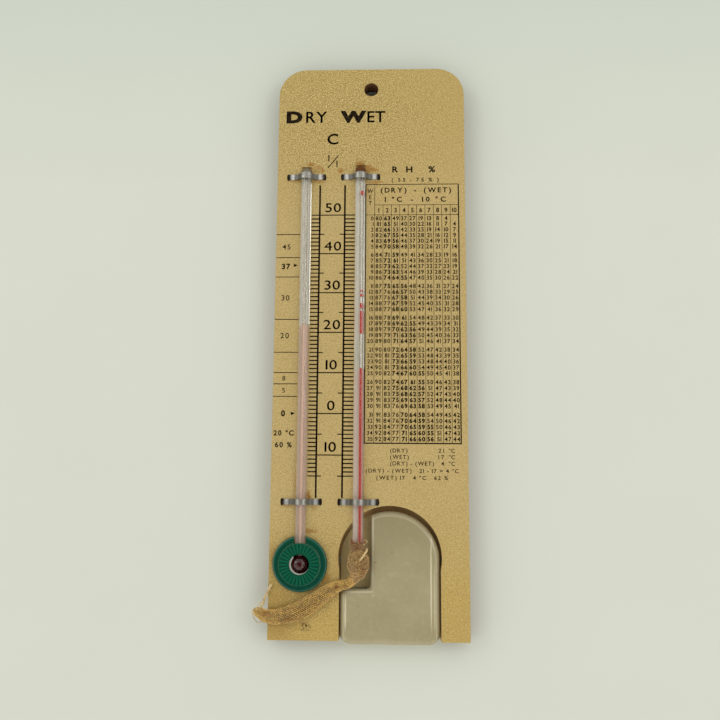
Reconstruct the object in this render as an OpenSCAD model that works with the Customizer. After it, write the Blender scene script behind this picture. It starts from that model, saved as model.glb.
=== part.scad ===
// Wall psychrometer: a wet and a dry bulb thermometer on a wooden board,
// with a pull-out water tank for the wick of the wet bulb.
// It lies on its back. The origin is the centre of the hanging hole at the
// board's back face, +Y runs up the board and +Z out of its printed face.
// Heights called "up" are measured from the board's bottom edge.

/* [Board] */
// Width of the board
board_w = 80; // [76:1:90]
// Length of the board
board_l = 240; // [236:1:260]
// Thickness of the wooden core
core_t = 7.6; // [7.2:0.2:10]
// Thickness of the printed sheet on the core
sheet_t = 0.4; // [0.3:0.1:0.6]
// Radius of the two upper corners
corner_r = 12; // [6:1:16]
// Diameter of the hanging hole
hole_d = 6.2; // [5:0.2:8]
// Hanging hole's centre, down from the top edge
hole_down = 9.3; // [8:0.1:12]

/* [Thermometers] */
// Diameter of each glass stem
stem_d = 4.2; // [3.8:0.1:4.6]
// Depth that a stem lies below the board's face
stem_sink = 1.55; // [1.3:0.05:1.8]
// Gap between a stem and its groove
stem_fit = 0.08; // [0.05:0.01:0.12]
// Outer diameter of each bulb
bulb_d = 7.6; // [7:0.1:8]
// Diameter of the bore in a stem
bore_d = 0.9; // [0.6:0.1:1.2]
// Thickness of a bulb's glass
bulb_wall = 0.5; // [0.4:0.1:0.8]
// Width of the white enamel strip behind the bore
enamel_w = 2.6; // [2:0.1:3]
// Thickness of the enamel strip
enamel_t = 0.3; // [0.2:0.05:0.4]
// Dry stem, in from the board's left edge
dry_in = 12.5; // [12:0.5:13.5]
// Wet stem, left of the board's centre line
wet_left = 4.4; // [4:0.1:5]
// Centre of both bulbs, up from the bottom edge
bulb_up = 29.5; // [28.5:0.5:30.5]
// Top of the dry stem, up from the bottom edge
dry_top_up = 194.7; // [194:0.1:196]
// Top of the wet stem, up from the bottom edge
wet_top_up = 195.5; // [194:0.1:196]
// Bore of the wet stem, to the right of the stem's axis
wet_bore_right = 0.5; // [0:0.05:0.6]

/* [Scale] */
// Zero degrees, up from the bottom edge
zero_up = 89.5; // [88:0.5:91]
// Length of one degree
degree = 1.69; // [1.6:0.01:1.75]
// Dry bulb reading in degrees
dry_reading = 22; // [5:1:40]
// Wet bulb reading in degrees
wet_reading = 11; // [5:1:17]

/* [Clips] */
// Width of a clip's strap, along the stem
clip_w = 2.3; // [1.8:0.1:2.4]
// Thickness of the strap
clip_t = 0.5; // [0.4:0.05:0.6]
// Length of a clip across the stem, outside its legs
clip_span = 16; // [15:0.2:16.4]
// Depth of a clip's legs below the board's face
clip_leg = 5.5; // [4:0.5:6]
// Gap round a leg in its slot
clip_fit = 0.15; // [0.1:0.05:0.2]
// Upper clips, up from the bottom edge
upper_clip_up = 190.8; // [188:0.1:192]
// Lower clips, up from the bottom edge
lower_clip_up = 53.8; // [53.7:0.1:55]

/* [Bulb guard] */
// Diameter of the guard's flange
guard_d = 22; // [21:0.5:22.5]
// Height of the flange above the board's face
flange_h = 1.9; // [1.6:0.1:2.2]
// Diameter of the ribbed disc
disc_d = 16.6; // [16:0.2:17.4]
// Thickness of the ribbed disc
disc_t = 1.2; // [1:0.1:1.5]
// Clearance between the window's wall and the bulb's widest ring
window_fit = 0.15; // [0.1:0.05:0.4]
// Number of radial ribs
rib_n = 30; // [20:2:36]
// Height of a rib
rib_h = 0.35; // [0.2:0.05:0.5]
// Width of a rib
rib_w = 0.5; // [0.4:0.1:0.6]
// Thickness of the wall that carries the disc
disc_wall = 0.9; // [0.7:0.1:1.2]
// Clearance round that wall where it goes down into the board's recess
skirt_fit = 0.1; // [0.05:0.05:0.2]
// Depth of the wall below the board's face
skirt_h = 3; // [2:0.5:4]
// Clearance round a stem where it enters the guard
stem_gate_fit = 0.25; // [0.2:0.05:0.4]
// Thickness of the white liner under the ribbed disc
liner_t = 0.25; // [0.2:0.05:0.4]
// How far the liner stands in front of the window, on the radius
liner_in = 0.35; // [0.2:0.05:0.5]
// Distance of the liner's window to the right of the guard's
liner_shift = 0.3; // [0:0.1:0.4]

/* [Tank bay in the board] */
// Centre line of the bay, right of the board's centre line
bay_right = 8.4; // [8:0.2:9]
// Radius of the bored top of the bay
bay_r = 20.7; // [20.6:0.1:21]
// Width of the sawn sides of the bay
bay_w = 40.5; // [40:0.1:41]
// Centre of the bored top, above the centre of the bulbs
bay_over_bulb = 2.3; // [1.9:0.1:3]

/* [Tank] */
// Gap between the tank and each side of the bay
tank_fit = 0.35; // [0.25:0.05:0.5]
// Wall of the tank's front shell
tank_wall = 0.9; // [0.7:0.1:1.1]
// Thickness of the tank's back plate
plate_t = 1; // [0.8:0.1:1.2]
// Height of the back plate above the board's back face
tank_lift = 0.5; // [0.3:0.1:0.8]
// Depth of the tank's front below the board's face
tank_sunk = 0.3; // [0.3:0.1:0.6]
// Rounding of the shell's front edges
edge_r = 2.4; // [1.6:0.2:2.6]
// Radius of the tank's lower corners
tank_corner_r = 4.5; // [3.5:0.5:6]
// Outer corners at the tank's notch
notch_corner_r = 3; // [2.6:0.1:3.6]
// Inner corner of the tank's notch
ledge_corner_r = 0.6; // [0.4:0.1:1]
// Gap between the wick's sleeve and the notch's upright wall
notch_gap = 0.5; // [0.4:0.1:0.8]
// Gap between the wick's sleeve and the notch's ledge when the tank is home
ledge_gap = 3; // [2.8:0.1:4]
// How far the tank stands out of its home position
tank_out = 1.6; // [0:0.2:2]
// Width of the filling mouth in the ledge
mouth_w = 7.6; // [6:0.2:8]
// Height of the filling mouth
mouth_h = 4.3; // [4.2:0.1:4.5]
// Thickness of the runner ribs on the tank's sides
runner_t = 1.2; // [1:0.1:1.4]
// How far a runner stands out of the tank's side
runner_w = 1.1; // [0.9:0.1:1.3]
// Clearance round a runner in its groove
runner_fit = 0.2; // [0.15:0.05:0.3]

/* [Wick] */
// Thickness of the cotton sleeve on the wet bulb
sleeve_t = 0.5; // [0.4:0.05:0.6]
// Gap between the sleeve and the glass
sleeve_fit = 0.1; // [0.05:0.05:0.15]
// Length of the sleeve above the bulb's centre
sleeve_up = 8.6; // [8.4:0.1:9.4]
// Diameter of the thread that ties the sleeve
thread_d = 0.5; // [0.4:0.05:0.5]
// Turns of the tie
tie_turns = 3; // [2:1:3]
// Distance between the tie's turns
tie_pitch = 0.95; // [0.92:0.01:1]

/* [Hidden] */
$fn = 64;
face_z = core_t + sheet_t;
board_top = hole_down;
board_bottom = board_top - board_l;
cut = 1;

stem_r = stem_d / 2;
stem_z = face_z + stem_r - stem_sink;
dry_x = dry_in - board_w / 2;
wet_x = -wet_left;
bulb_r = bulb_d / 2;
bulb_y = board_bottom + bulb_up;
bulb_in_r = bulb_r - bulb_wall;
bore_r = bore_d / 2;
dry_top_y = board_bottom + dry_top_up;
wet_top_y = board_bottom + wet_top_up;
zero_y = board_bottom + zero_up;
function mark_y(t) = zero_y + t * degree;
spirit_fit = 0.04;
groove_end = 0.8;
bore_top = 3;
enamel_fit = 0.04;
enamel_drop = 0.6;
enamel_low = 5.5;
// Pieces of the wet thermometer's broken column, from and to, in degrees
column_breaks = [[19.6, 25.2], [25.9, 27.1], [28.9, 29.5], [30.2, 30.5], [55, 56]];

upper_clip_y = board_bottom + upper_clip_up;
lower_clip_y = board_bottom + lower_clip_up;
clip_gap = 0.05;
clip_bend_r = 0.6;
clip_rise = 2.3;
slot_deep = clip_leg + 0.6;

disc_top = stem_z + stem_r + stem_gate_fit + disc_t;
window_r = bulb_r + window_fit;
recess_r = disc_d / 2 + skirt_fit;
recess_spare = 1.9;
recess_floor = stem_z - bulb_r - recess_spare;
rib_gap = 0.35;
liner_gap = 0.1;

sleeve_r = bulb_r + sleeve_fit + sleeve_t;
neck_r = stem_r + sleeve_fit + sleeve_t;
sleeve_slack = 0.5;
sleeve_shoulder = 5.2;

bay_x = bay_right;
bay_y = bulb_y + bay_over_bulb;
bay_up = bay_y - board_bottom;
tank_w = bay_w - 2 * tank_fit;
arch_fit = 0.2;
tank_r = bay_r - tank_fit - arch_fit;
notch_left = bay_x - wet_x - sleeve_r - notch_gap;
ledge_down = bay_over_bulb + sleeve_r + sleeve_slack + ledge_gap;
tank_y = bay_y - tank_out;
tank_low = bay_up;
plate_top = tank_lift + plate_t;
tank_top = face_z - tank_sunk;
runner_z = core_t / 2;
runner_low = 4;
runner_high = 3;
mouth_z = (plate_top + tank_top - tank_wall) / 2;
least_r = 0.05;
edge_steps = 6;
corner_steps = 5;
arch_steps = 26;

tie_fit = 0.06;
tie_r = neck_r + thread_d / 2 + tie_fit;
tie_down = 0.4;

// The wick's free end, from the sleeve to the knot: x and y of its middle line from the
// wet bulb's centre and its height over the board's face, then its width and thickness
tail = [
    [-1.8, -5.5, 1.2, 3.6, 2.4],
    [-2.4, -6.5, 1.25, 3.7, 2.4],
    [-3.8, -7.3, 1.3, 3.9, 2.4],
    [-6.6, -8.1, 1.4, 4.2, 2.4],
    [-10.1, -9.6, 1.5, 5.2, 2.6],
    [-13.6, -11.8, 1.55, 6.2, 2.8],
    [-17.6, -14.6, 1.6, 7, 2.9],
    [-21.6, -17, 1.6, 7.2, 2.9],
    [-25.6, -18.8, 1.6, 7, 2.9],
    [-29.6, -20, 1.6, 6.4, 2.8],
    [-33.1, -20.5, 1.5, 5.8, 2.6],
    [-36.1, -20.1, 1.4, 5.2, 2.4],
    [-38.4, -19.2, 1.1, 4.4, 2.2],
    [-40.2, -18.2, 0.8, 3.4, 2]
];
knot_r = 1.4;
knot_out = 0.8;
// The loose thread that runs up to the board's edge, and the loop by the knot,
// as points from the same centre
strand = [
    [-40.8, -17, 1], [-39.6, -15.8, 1.1], [-38.4, -14.2, 0.9],
    [-37.4, -12.6, 0.5], [-36.6, -10.6, 0], [-36.1, -8.6, -0.6]
];
loop = [
    [-42.3, -18, 0.7], [-42.9, -19.2, 0.5], [-42.6, -20.8, 0.3],
    [-41.6, -22, 0.2], [-40.4, -22.5, 0.2], [-39.3, -22.1, 0.3]
];

// Places its children on the axis of a stem, with their +Z along the stem
module on_stem(x, y) {
    translate([x, y, stem_z]) rotate([-90, 0, 0]) children();
}

// Board: a flat outline with two rounded upper corners

module corner_waste(r) {
    difference() {
        square(r + cut);
        circle(r);
    }
}

module board_outline() {
    difference() {
        translate([-board_w / 2, board_bottom]) square([board_w, board_l]);
        for (side = [-1, 1])
            translate([side * (board_w / 2 - corner_r), board_top - corner_r])
                mirror([side < 0 ? 1 : 0, 0]) corner_waste(corner_r);
    }
}

module bay_outline() {
    translate([bay_x, bay_y]) {
        circle(bay_r);
        translate([-bay_w / 2, -bay_up - cut]) square([bay_w, bay_up + cut]);
    }
}

module stem_groove(x, top_y, low_y) {
    translate([0, low_y, 0]) on_stem(x, 0)
        cylinder(r = stem_r + stem_fit, h = top_y - low_y + groove_end);
}

module clip_slots(x, y) {
    slot_t = clip_t + 2 * clip_fit;
    slot_w = clip_w + 2 * clip_fit;
    for (side = [-1, 1])
        translate([x + side * (clip_span - clip_t) / 2 - slot_t / 2,
                   y - slot_w / 2, face_z - slot_deep])
            cube([slot_t, slot_w, slot_deep + cut]);
}

// Everything that is cut through the printed sheet into the core
module face_cuts() {
    translate([0, 0, -cut]) cylinder(d = hole_d, h = face_z + 2 * cut);
    translate([0, 0, -cut]) linear_extrude(face_z + 2 * cut) bay_outline();
    stem_groove(dry_x, dry_top_y, bulb_y);
    stem_groove(wet_x, wet_top_y, bay_y);
    translate([dry_x, bulb_y, recess_floor]) cylinder(r = recess_r, h = face_z);
    for (x = [dry_x, wet_x], y = [upper_clip_y, lower_clip_y]) clip_slots(x, y);
}

// Saw cuts in the sides of the bay that hold the tank's runners
module runner_grooves() {
    groove_t = runner_t + 2 * runner_fit;
    reach = runner_w + runner_fit - tank_fit;
    for (side = [-1, 1])
        translate([bay_x + side * (bay_w / 2 + reach / 2) - reach / 2 - (side < 0 ? 0 : cut),
                   board_bottom - cut, runner_z - groove_t / 2])
            cube([reach + cut, bay_up + cut, groove_t]);
}

module backboard() {
    color("saddlebrown") difference() {
        linear_extrude(core_t) board_outline();
        face_cuts();
        runner_grooves();
    }
}

module face_sheet() {
    color("burlywood") difference() {
        translate([0, 0, core_t]) linear_extrude(sheet_t) board_outline();
        face_cuts();
    }
}

// Thermometers: half outlines that turn round the stem's axis, bulb centre at 0

module right_half(h) {
    intersection() {
        children();
        translate([0, -h]) square([h, 3 * h]);
    }
}

module glass_half(stem_l) {
    right_half(stem_l) {
        circle(bulb_r);
        translate([-stem_r, 0]) square([2 * stem_r, stem_l - stem_r]);
        translate([0, stem_l - stem_r]) circle(stem_r);
    }
}

module enamel_bar(stem_l, fit) {
    w = enamel_w + 2 * fit;
    t = enamel_t + 2 * fit;
    translate([-w / 2, enamel_drop + bore_r - fit, enamel_low - fit])
        cube([w, t, stem_l - enamel_low - stem_r - bore_top / 2 + 2 * fit]);
}

// Ball whose poles lie to the sides, clear of the bore
module ball(r) {
    rotate([90, 0, 0]) sphere(r = r);
}

module glass(x, top_y, bore_right = 0) {
    stem_l = top_y - bulb_y;
    color("gainsboro", 0.5) on_stem(x, bulb_y) difference() {
        rotate_extrude() glass_half(stem_l);
        ball(bulb_in_r);
        translate([bore_right, 0, 0]) cylinder(r = bore_r, h = stem_l - bore_top);
        enamel_bar(stem_l, enamel_fit);
    }
}

module enamel(x, top_y) {
    color("white") on_stem(x, bulb_y) enamel_bar(top_y - bulb_y, 0);
}

module spirit(x, reading, bore_right = 0, breaks = []) {
    r = bore_r - spirit_fit;
    color("crimson") on_stem(x, bulb_y) {
        ball(bulb_in_r - spirit_fit);
        translate([bore_right, 0, 0]) {
            cylinder(r = r, h = mark_y(reading) - bulb_y);
            for (part = breaks)
                translate([0, 0, mark_y(part[0]) - bulb_y])
                    cylinder(r = r, h = (part[1] - part[0]) * degree);
        }
    }
}

// Clips: a strap that runs over the stem and turns down into two slots

strap_top = stem_z + stem_r + clip_gap + clip_t / 2;
strap_foot = face_z + clip_gap + clip_t / 2;
strap_x = (clip_span - clip_t) / 2;
hump_x = stem_r + clip_rise;
hump_steps = 14;
bend_steps = 5;
function hump_z(x) =
    strap_foot + (strap_top - strap_foot) * pow(cos(90 * pow(x / hump_x, 1.3)), 2);
// Middle line of the strap's right half, from the stem's top to the leg's end
strap_half = concat(
    [for (i = [0:hump_steps]) let (x = hump_x * i / hump_steps) [x, hump_z(x)]],
    [for (i = [0:bend_steps]) let (a = 90 - 90 * i / bend_steps)
        [strap_x - clip_bend_r + clip_bend_r * cos(a),
         strap_foot - clip_bend_r + clip_bend_r * sin(a)]],
    [[strap_x, face_z - clip_leg]]
);
strap_line = concat(
    [for (i = [len(strap_half) - 1:-1:1]) [-strap_half[i][0], strap_half[i][1]]],
    strap_half
);
function unit(v) = v / norm(v);
function side_of(line, i) =
    let (last = len(line) - 1,
         d = unit(line[min(i + 1, last)] - line[max(i - 1, 0)]))
    [-d[1], d[0]];
function band(line, t) = concat(
    [for (i = [0:len(line) - 1]) line[i] + side_of(line, i) * t / 2],
    [for (i = [len(line) - 1:-1:0]) line[i] - side_of(line, i) * t / 2]
);

module clip(x, y) {
    color("silver") translate([x, y + clip_w / 2, 0]) rotate([90, 0, 0])
        linear_extrude(clip_w) polygon(band(strap_line, clip_t));
}

// Bulb guard: flange, raised disc with radial ribs, and a skirt in the recess

module guard_half() {
    disc_r = disc_d / 2;
    flange_r = guard_d / 2;
    round_r = flange_h / 2;
    translate([disc_r - disc_wall, face_z])
        square([flange_r - round_r - disc_r + disc_wall, flange_h]);
    translate([flange_r - round_r, face_z + round_r]) circle(round_r);
    translate([disc_r - disc_wall, face_z - skirt_h])
        square([disc_wall, disc_top - face_z + skirt_h]);
    translate([window_r, disc_top - disc_t]) square([disc_r - window_r, disc_t]);
}

module guard_ribs() {
    inner = window_r + rib_gap;
    outer = disc_d / 2 - rib_gap;
    for (i = [0:rib_n - 1])
        rotate(360 * i / rib_n)
            translate([inner, -rib_w / 2, disc_top - cut])
                cube([outer - inner, rib_w, rib_h + cut]);
}

module bulb_guard() {
    gate_w = stem_d + 2 * stem_gate_fit;
    gate_top = disc_top - disc_t;
    color("seagreen") translate([dry_x, bulb_y, 0]) {
        difference() {
            union() {
                rotate_extrude() guard_half();
                guard_ribs();
            }
            translate([-gate_w / 2, 0, face_z - skirt_h - cut])
                cube([gate_w, guard_d, gate_top - face_z + skirt_h + cut]);
        }
    }
}

// White liner: a ring under the disc, open where the stem comes in
module bulb_liner() {
    gate_w = stem_d + 2 * stem_gate_fit;
    outer_r = disc_d / 2 - disc_wall - liner_gap;
    color("white") translate([dry_x, bulb_y, disc_top - disc_t - liner_t])
        linear_extrude(liner_t) difference() {
            circle(outer_r);
            translate([liner_shift, 0]) circle(window_r - liner_in);
            translate([-gate_w / 2, 0]) square([gate_w, outer_r + cut]);
        }
}

// Tank: an L-shaped front shell welded on an arched back plate.
// Its own frame has the centre of the bay's bored top at its origin.

module tank_outline() {
    difference() {
        union() {
            intersection() {
                circle(tank_r);
                translate([-tank_w / 2, -tank_corner_r]) square([tank_w, 2 * tank_r]);
            }
            translate([-tank_w / 2, -tank_low]) square([tank_w, tank_low]);
        }
        for (side = [-1, 1])
            translate([side * (tank_w / 2 - tank_corner_r), tank_corner_r - tank_low])
                mirror([side < 0 ? 1 : 0, 0]) mirror([0, 1]) corner_waste(tank_corner_r);
    }
}

// Points of an arc from one angle to another
function arc(centre, r, from, to, steps) =
    [for (i = [0:steps]) let (a = from + (to - from) * i / steps)
        centre + max(r, least_r) * [cos(a), sin(a)]];

// Upper corner of the notch: its centre lies inside the bored top's circle
notch_x = -notch_left + notch_corner_r;
notch_y = sqrt(pow(tank_r - notch_corner_r, 2) - pow(notch_x, 2));
// The arch meets that corner at notch_angle, and the corner's next point is at notch_turn
notch_angle = atan2(notch_y, notch_x);
notch_turn = notch_angle + (180 - notch_angle) / corner_steps;

// The shell's L-shaped outline, drawn in by inset, with as many points at each inset
function shell_line(inset) =
    let (arch = tank_r - inset,
         side = acos(min(1, (tank_w / 2 - inset) / arch)),
         low_y = tank_corner_r - tank_low,
         low_x = tank_w / 2 - tank_corner_r)
    concat(
        arc([-low_x, low_y], tank_corner_r - inset, 180, 270, corner_steps),
        arc([low_x, low_y], tank_corner_r - inset, 270, 360, corner_steps),
        arc([0, 0], arch, side, notch_angle, arch_steps),
        arc([notch_x, notch_y], notch_corner_r - inset, notch_turn, 180, corner_steps - 1),
        arc([-notch_left - ledge_corner_r, ledge_corner_r - ledge_down],
            ledge_corner_r + inset, 0, -90, corner_steps),
        arc([notch_corner_r - tank_w / 2, -ledge_down - notch_corner_r],
            notch_corner_r - inset, 90, 180, corner_steps)
    );

// Rings of that outline up a wall that is drawn in by inset and round at its front edge
function wall_rings(inset, low_z, top_z, round_r) = concat(
    [[for (p = shell_line(inset)) [p[0], p[1], low_z]]],
    [for (i = [0:edge_steps])
        let (a = 90 * i / edge_steps,
             z = top_z - round_r + round_r * sin(a))
        [for (p = shell_line(inset + round_r * (1 - cos(a)))) [p[0], p[1], z]]]
);
function reversed(list) = [for (i = [len(list) - 1:-1:0]) list[i]];

// The shell's skin runs from the cavity's front down its wall, and up the outer wall.
// Both fronts are closed from a hub below the notch, which the whole outline can see.
module shell_skin() {
    inner = wall_rings(tank_wall, plate_top, tank_top - tank_wall, edge_r - tank_wall);
    outer = wall_rings(0, plate_top, tank_top, edge_r);
    hub_y = -(ledge_down + tank_low) / 2;
    skin(concat(reversed(inner), outer),
         [[0, hub_y, tank_top - tank_wall], [0, hub_y, tank_top]]);
}

module runners() {
    for (side = [-1, 1])
        translate([side * tank_w / 2 - (side < 0 ? runner_w : cut / 2),
                   -tank_low + tank_corner_r + runner_low, runner_z - runner_t / 2])
            cube([runner_w + cut / 2, tank_low - tank_corner_r - runner_low
                  - (side < 0 ? ledge_down + notch_corner_r : runner_high), runner_t]);
}

module tank_shell() {
    mouth_x = wet_x - bay_x;
    color("beige", 0.8) translate([bay_x, tank_y, 0]) {
        difference() {
            shell_skin();
            translate([mouth_x - mouth_w / 2, -ledge_down - tank_wall - cut, mouth_z - mouth_h / 2])
                cube([mouth_w, tank_wall + 2 * cut, mouth_h]);
        }
        runners();
    }
}

module tank_back() {
    color("beige", 0.8) translate([bay_x, tank_y, tank_lift])
        linear_extrude(plate_t) tank_outline();
}

// Wick

// Flattened ring of a wick: width across the line in plan, height along Z
ring_n = 12;
function flat_ring(p, d, w, h) = [for (k = [0:ring_n - 1])
    let (a = 360 * k / ring_n)
    [p[0] - d[1] * w / 2 * cos(a), p[1] + d[0] * w / 2 * cos(a), p[2] + h / 2 * sin(a)]];
function plan_dir(line, i) =
    let (last = len(line) - 1, a = line[max(i - 1, 0)], b = line[min(i + 1, last)])
    unit([b[0] - a[0], b[1] - a[1]]);

// Round ring of a thread, square to its own line
function thread_ring(line, i, d, n) =
    let (last = len(line) - 1,
         t = unit(line[min(i + 1, last)] - line[max(i - 1, 0)]),
         s = unit(cross(t, [0, 0, 1])),
         u = cross(s, t))
    [for (k = [0:n - 1]) let (a = 360 * k / n)
        line[i] + (s * cos(a) + u * sin(a)) * d / 2];

// One closed skin over rings that follow each other. Rings with a hollow corner end in two
// hubs, one for each end, and other rings end in a flat face.
module skin(rings, hubs = []) {
    n = len(rings[0]);
    last = len(rings) - 1;
    hub = n * (last + 1);
    polyhedron(
        points = concat([for (r = rings) for (p = r) p], hubs),
        faces = concat(
            len(hubs) == 0 ? [[for (k = [0:n - 1]) k]]
                : [for (k = [0:n - 1]) [k, (k + 1) % n, hub]],
            [for (i = [0:last - 1]) for (k = [0:n - 1]) let (m = (k + 1) % n)
                each [[i * n + k, (i + 1) * n + k, (i + 1) * n + m],
                      [i * n + k, (i + 1) * n + m, i * n + m]]],
            len(hubs) == 0 ? [[for (k = [n - 1:-1:0]) last * n + k]]
                : [for (k = [0:n - 1]) [last * n + (k + 1) % n, last * n + k, hub + 1]]
        )
    );
}

// Smooth points through a route, by Catmull-Rom curves
function curve_at(a, b, c, d, t) =
    0.5 * (2 * b + (c - a) * t + (2 * a - 5 * b + 4 * c - d) * t * t
           + (3 * b - a - 3 * c + d) * t * t * t);
function smooth(line, steps) = let (last = len(line) - 1) concat(
    [for (i = [0:last - 1]) for (j = [0:steps - 1])
        curve_at(line[max(i - 1, 0)], line[i], line[i + 1], line[min(i + 2, last)], j / steps)],
    [line[last]]
);

// Points of a route from the wet bulb's centre, put in their place over the face
bulb_spot = [wet_x, bulb_y, face_z, 0, 0];
function from_bulb(route) = [for (p = route) [for (i = [0:len(p) - 1]) p[i] + bulb_spot[i]]];
tail_line = smooth(from_bulb(tail), 2);
sleeve_end_dir = plan_dir(tail_line, 0);
function tail_rings() = [for (i = [0:len(tail_line) - 1])
    let (p = tail_line[i]) flat_ring(p, plan_dir(tail_line, i), p[3], p[4])];

sleeve_steps = 8;
// The sleeve's half outline: round under the bulb, and drawn in to the neck above it
module sleeve_half() {
    slack = (sleeve_r + sleeve_slack) / sleeve_r;
    polygon(concat(
        [for (i = [0:sleeve_steps]) let (a = 90 * i / sleeve_steps - 90)
            [sleeve_r * cos(a), sleeve_r * slack * sin(a)]],
        [for (i = [1:sleeve_steps]) let (t = i / sleeve_steps)
            [neck_r + (sleeve_r - neck_r) * (1 + cos(180 * t)) / 2, sleeve_shoulder * t]],
        [[neck_r, sleeve_up], [0, sleeve_up]]
    ));
}

module wick_sleeve() {
    spout_l = 4.2;
    p = tail_line[0];
    color("tan") difference() {
        union() {
            on_stem(wet_x, bulb_y) rotate_extrude() sleeve_half();
            skin([for (back = [spout_l, 0])
                flat_ring([p[0] - sleeve_end_dir[0] * back, p[1] - sleeve_end_dir[1] * back, p[2]],
                          sleeve_end_dir, p[3], p[4])]);
        }
        on_stem(wet_x, bulb_y) {
            sphere(r = bulb_r + sleeve_fit);
            cylinder(r = stem_r + sleeve_fit, h = sleeve_up + cut);
        }
    }
}

tie_steps = 24;
function tie_point(i) = let (a = 360 * i / tie_steps)
    [wet_x + tie_r * cos(a),
     bulb_y + sleeve_up - tie_down - tie_pitch * i / tie_steps,
     stem_z + tie_r * sin(a)];
tie_line = [for (i = [0:tie_steps * tie_turns]) tie_point(i)];
// Least gap between neighbouring turns of the tie
tie_gap = min([for (i = [0:len(tie_line) - 1]) for (j = [i + tie_steps / 2:len(tie_line) - 1])
    norm(tie_line[i] - tie_line[j])]) - thread_d;
echo(tie_gap = tie_gap);

function tie_ring(i) =
    let (a = 360 * i / tie_steps, out = [cos(a), 0, sin(a)], along = [0, 1, 0])
    [for (k = [0:5]) tie_line[i] + (out * cos(60 * k) + along * sin(60 * k)) * thread_d / 2];

module wick_tie() {
    color("sienna") skin([for (i = [0:len(tie_line) - 1]) tie_ring(i)]);
}

module wick_tail() {
    color("tan") skin(tail_rings());
}

module wick_knot() {
    p = tail_line[len(tail_line) - 1];
    d = plan_dir(tail_line, len(tail_line) - 1);
    color("tan") translate([p[0], p[1], p[2]]) rotate(atan2(d[1], d[0]))
        difference() {
            translate([knot_out, 0, 0]) sphere(r = knot_r);
            translate([-2 * knot_r, -knot_r, -knot_r]) cube(2 * knot_r);
        }
}

module thread(route) {
    line = smooth(from_bulb(route), 4);
    skin([for (i = [0:len(line) - 1]) thread_ring(line, i, thread_d, 6)]);
}

module loose_threads() {
    color("tan") {
        thread(strand);
        thread(loop);
    }
}

backboard();
face_sheet();
glass(dry_x, dry_top_y);  // dry_glass
enamel(dry_x, dry_top_y);  // dry_enamel
spirit(dry_x, dry_reading);  // dry_spirit
glass(wet_x, wet_top_y, wet_bore_right);  // wet_glass
enamel(wet_x, wet_top_y);  // wet_enamel
spirit(wet_x, wet_reading, wet_bore_right, column_breaks);  // wet_spirit
clip(dry_x, upper_clip_y);  // dry_upper_clip
clip(dry_x, lower_clip_y);  // dry_lower_clip
clip(wet_x, upper_clip_y);  // wet_upper_clip
clip(wet_x, lower_clip_y);  // wet_lower_clip
bulb_guard();
bulb_liner();
tank_shell();
tank_back();
wick_sleeve();
wick_tie();
wick_tail();
wick_knot();
loose_threads();
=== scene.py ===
"""Wall psychrometer: finishes, print and knitted wick, fitted to the packed frame.

Each operator below dresses one group of pieces. Lengths in the tables are millimetres in
the frame's own axes: +X right, +Y up the board, +Z out of its printed face.
"""

import math

import bmesh
import bpy
import numpy as np
from bpy.props import FloatProperty, FloatVectorProperty, IntProperty, PointerProperty
from bpy.types import Operator, Panel, PropertyGroup
from mathutils import Matrix, Vector


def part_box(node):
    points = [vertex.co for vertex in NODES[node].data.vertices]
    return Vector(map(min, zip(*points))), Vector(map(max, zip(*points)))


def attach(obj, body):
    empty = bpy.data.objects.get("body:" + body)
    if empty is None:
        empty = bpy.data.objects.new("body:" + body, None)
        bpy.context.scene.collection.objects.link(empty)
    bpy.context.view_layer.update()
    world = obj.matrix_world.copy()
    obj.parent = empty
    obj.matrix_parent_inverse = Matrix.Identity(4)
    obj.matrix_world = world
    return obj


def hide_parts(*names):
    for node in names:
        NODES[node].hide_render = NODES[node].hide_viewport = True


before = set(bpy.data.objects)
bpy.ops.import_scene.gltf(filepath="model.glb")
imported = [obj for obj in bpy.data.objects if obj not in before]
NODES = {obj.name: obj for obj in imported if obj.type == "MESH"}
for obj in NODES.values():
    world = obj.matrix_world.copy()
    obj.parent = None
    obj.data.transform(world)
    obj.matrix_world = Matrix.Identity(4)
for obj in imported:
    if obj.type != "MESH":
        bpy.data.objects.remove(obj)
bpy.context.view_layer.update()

bl_info = {
    "name": "Wall psychrometer",
    "version": (1, 0, 0),
    "blender": (4, 5, 0),
    "location": "View3D > Sidebar > Psychrometer",
    "description": "Dresses the packed frame of a wet and dry bulb thermometer board",
    "category": "Object",
}

MM = 0.001


def corners(node):
    """Lowest and highest corner of a node, in millimetres."""
    low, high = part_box(node)
    return low / MM, high / MM


SHEET_LOW, SHEET_HIGH = corners("face_sheet")
FACE_Z = SHEET_HIGH.z
BOTTOM_Y = SHEET_LOW.y
LEFT_X = SHEET_LOW.x


def stem_axis(node):
    """X of a thermometer's axis and the Y of its bulb's centre."""
    low, high = corners(node)
    return (low.x + high.x) / 2, low.y + (high.x - low.x) / 2


DRY_X, BULB_Y = stem_axis("dry_glass")
WET_X = stem_axis("wet_glass")[0]
GUARD_TOP = corners("bulb_guard")[1].z
STEM_R = 2.1
STEM_Z = (corners("dry_glass")[0].z + corners("dry_glass")[1].z) / 2
# The clips' places along the board, and how far their slots are from a stem's axis
CLIP_YS = (BOTTOM_Y + 190.8, BOTTOM_Y + 53.8)
LEG_REACH = 7.9
# The bay that the tank slides in: its arch's centre and radius, and its width below that
BAY_X, BAY_Y, BAY_R, BAY_W = 8.4, BULB_Y + 2.3, 20.68, 40.46
# One degree on the scale, and the place of its zero
DEGREE = 1.69
ZERO_Y = BOTTOM_Y + 89.5


# Colours and settings


def linear(code):
    """Linear colour of an sRGB hex code."""
    parts = [int(code[i:i + 2], 16) / 255 for i in (1, 3, 5)]
    return tuple(c / 12.92 if c <= 0.04045 else ((c + 0.055) / 1.055) ** 2.4 for c in parts)


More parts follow.
